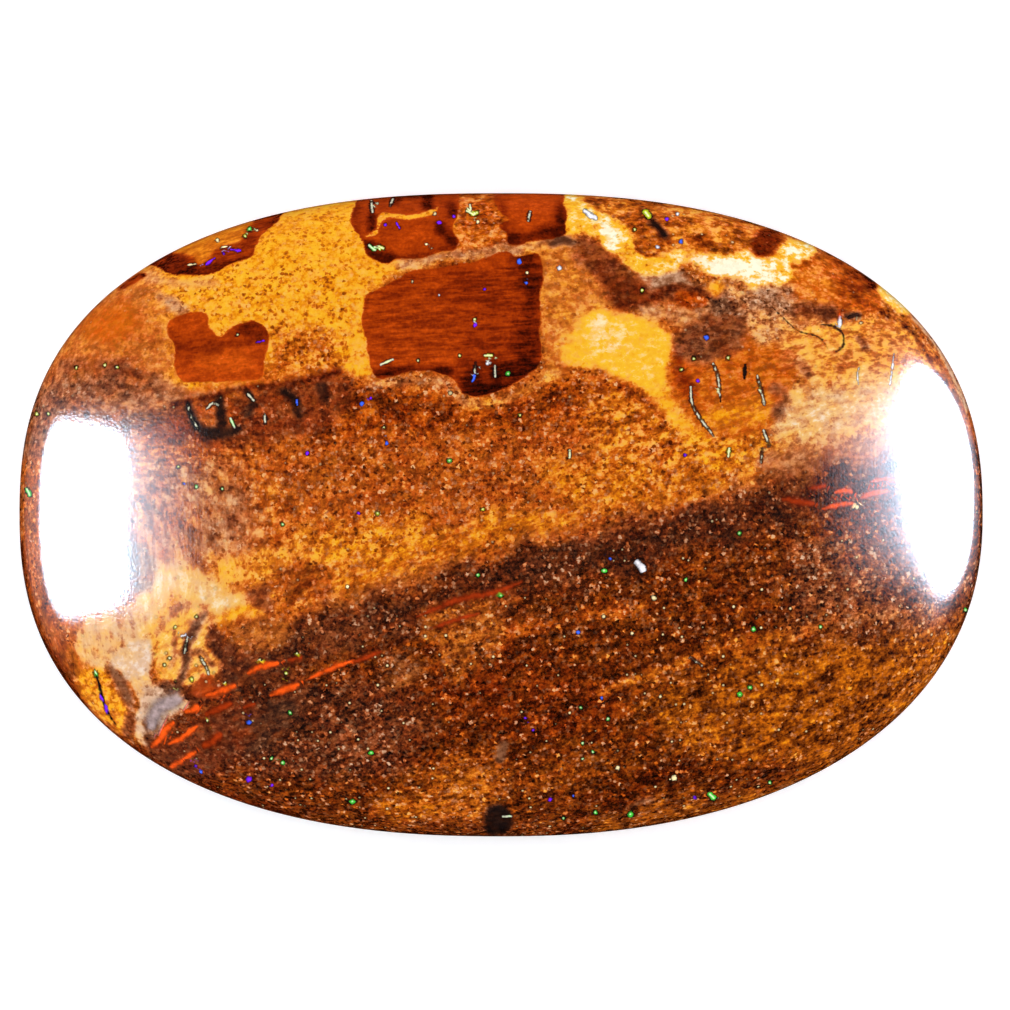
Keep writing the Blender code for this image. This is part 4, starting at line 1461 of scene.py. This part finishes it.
def add_softbox(name, side, studio, centre, size, roundness, haze, fall, colour):
    """An upright softbox beside the stone, with a haze round it, that shows only in the polish.

    Its side is -1 for the left and 1 for the right.
    """
    distance = studio.softbox_distance
    light = bpy.data.lights.new(name, "AREA")
    light.shape = "RECTANGLE"
    light.size, light.size_y = (distance * part / SOFTBOX_CORE for part in size)
    light.energy = studio.softbox_strength * light.size * light.size_y * math.pi
    light.color = colour
    light.use_nodes = True
    wiring = Wiring(light.node_tree)
    strength = softbox_strength(wiring, roundness, haze, fall)
    wiring.tree.links.new(strength, light.node_tree.nodes["Emission"].inputs["Strength"])
    softbox = bpy.data.objects.new(name, light)
    softbox.location = (side * distance, *(distance * part for part in centre))
    softbox.rotation_mode = "QUATERNION"
    softbox.rotation_quaternion = Vector((side, 0, 0)).to_track_quat("Z", "Y")
    softbox.visible_camera = False
    softbox.visible_diffuse = False
    bpy.context.scene.collection.objects.link(softbox)


def add_surround(studio):
    """Even white light from all round, which the polish hardly reflects."""
    world = bpy.data.worlds.new("studio")
    world.use_nodes = True
    wiring = Wiring(world.node_tree)
    background = world.node_tree.nodes["Background"]
    glossy = wiring.node("ShaderNodeLightPath").outputs["Is Glossy Ray"]
    wiring.tree.links.new(wiring.mix(glossy, studio.surround, 0.0), background.inputs["Strength"])
    background.inputs["Color"].default_value = (1, 1, 1, 1)
    bpy.context.scene.world = world


def add_camera(shape, studio):
    """Looks straight down, with the photograph's frame."""
    camera_data = bpy.data.cameras.new("camera")
    camera = bpy.data.objects.new("camera", camera_data)
    bpy.context.scene.collection.objects.link(camera)
    across = PICTURE_WIDTH / CHART_PER_METRE
    camera_data.lens = camera_data.sensor_width * studio.camera_height / across
    camera_data.clip_start, camera_data.clip_end = 0.01, 10
    camera.location = (
        (PICTURE_MIDDLE[0] - CHART_MIDDLE[0]) / CHART_PER_METRE,
        (CHART_MIDDLE[1] - PICTURE_MIDDLE[1]) / CHART_PER_METRE,
        shape.girdle_high + studio.camera_height,
    )
    bpy.context.scene.camera = camera


class OPAL_OT_add_stage(bpy.types.Operator):
    """Adds the floor, the lights and the camera"""

    bl_idname = "opal.add_stage"
    bl_label = "Add stage"

    def execute(self, context):
        studio = context.scene.opal_studio
        add_floor()
        add_surround(studio)
        add_softbox("left_softbox", -1, studio, **LEFT_SOFTBOX)
        add_softbox("right_softbox", 1, studio, **RIGHT_SOFTBOX)
        add_camera(context.scene.opal_shape, studio)
        context.scene.view_settings.view_transform = "Standard"
        return {"FINISHED"}


class OPAL_PT_panel(bpy.types.Panel):
    """Lists the steps in the sidebar"""

    bl_label = "Boulder Opal"
    bl_idname = "OPAL_PT_panel"
    bl_space_type = "VIEW_3D"
    bl_region_type = "UI"
    bl_category = "Boulder Opal"

    def draw(self, context):
        for group in (context.scene.opal_shape, context.scene.opal_finish, context.scene.opal_studio):
            for name in group.__annotations__:
                self.layout.prop(group, name)
        self.layout.operator(OPAL_OT_add_stone.bl_idname)
        self.layout.operator(OPAL_OT_add_stage.bl_idname)


GROUPS = {
    "opal_shape": OpalShape,
    "opal_colours": OpalColours,
    "opal_finish": OpalFinish,
    "opal_studio": OpalStudio,
}
CLASSES = (*GROUPS.values(), OPAL_OT_add_stone, OPAL_OT_add_stage, OPAL_PT_panel)


def register():
    for kind in CLASSES:
        bpy.utils.register_class(kind)
    for name, kind in GROUPS.items():
        setattr(bpy.types.Scene, name, bpy.props.PointerProperty(type=kind))


def unregister():
    for name in GROUPS:
        delattr(bpy.types.Scene, name)
    for kind in reversed(CLASSES):
        bpy.utils.unregister_class(kind)


def main():
    register()
    bpy.ops.opal.add_stone()
    bpy.ops.opal.add_stage()


if __name__ == "__main__":
    main()
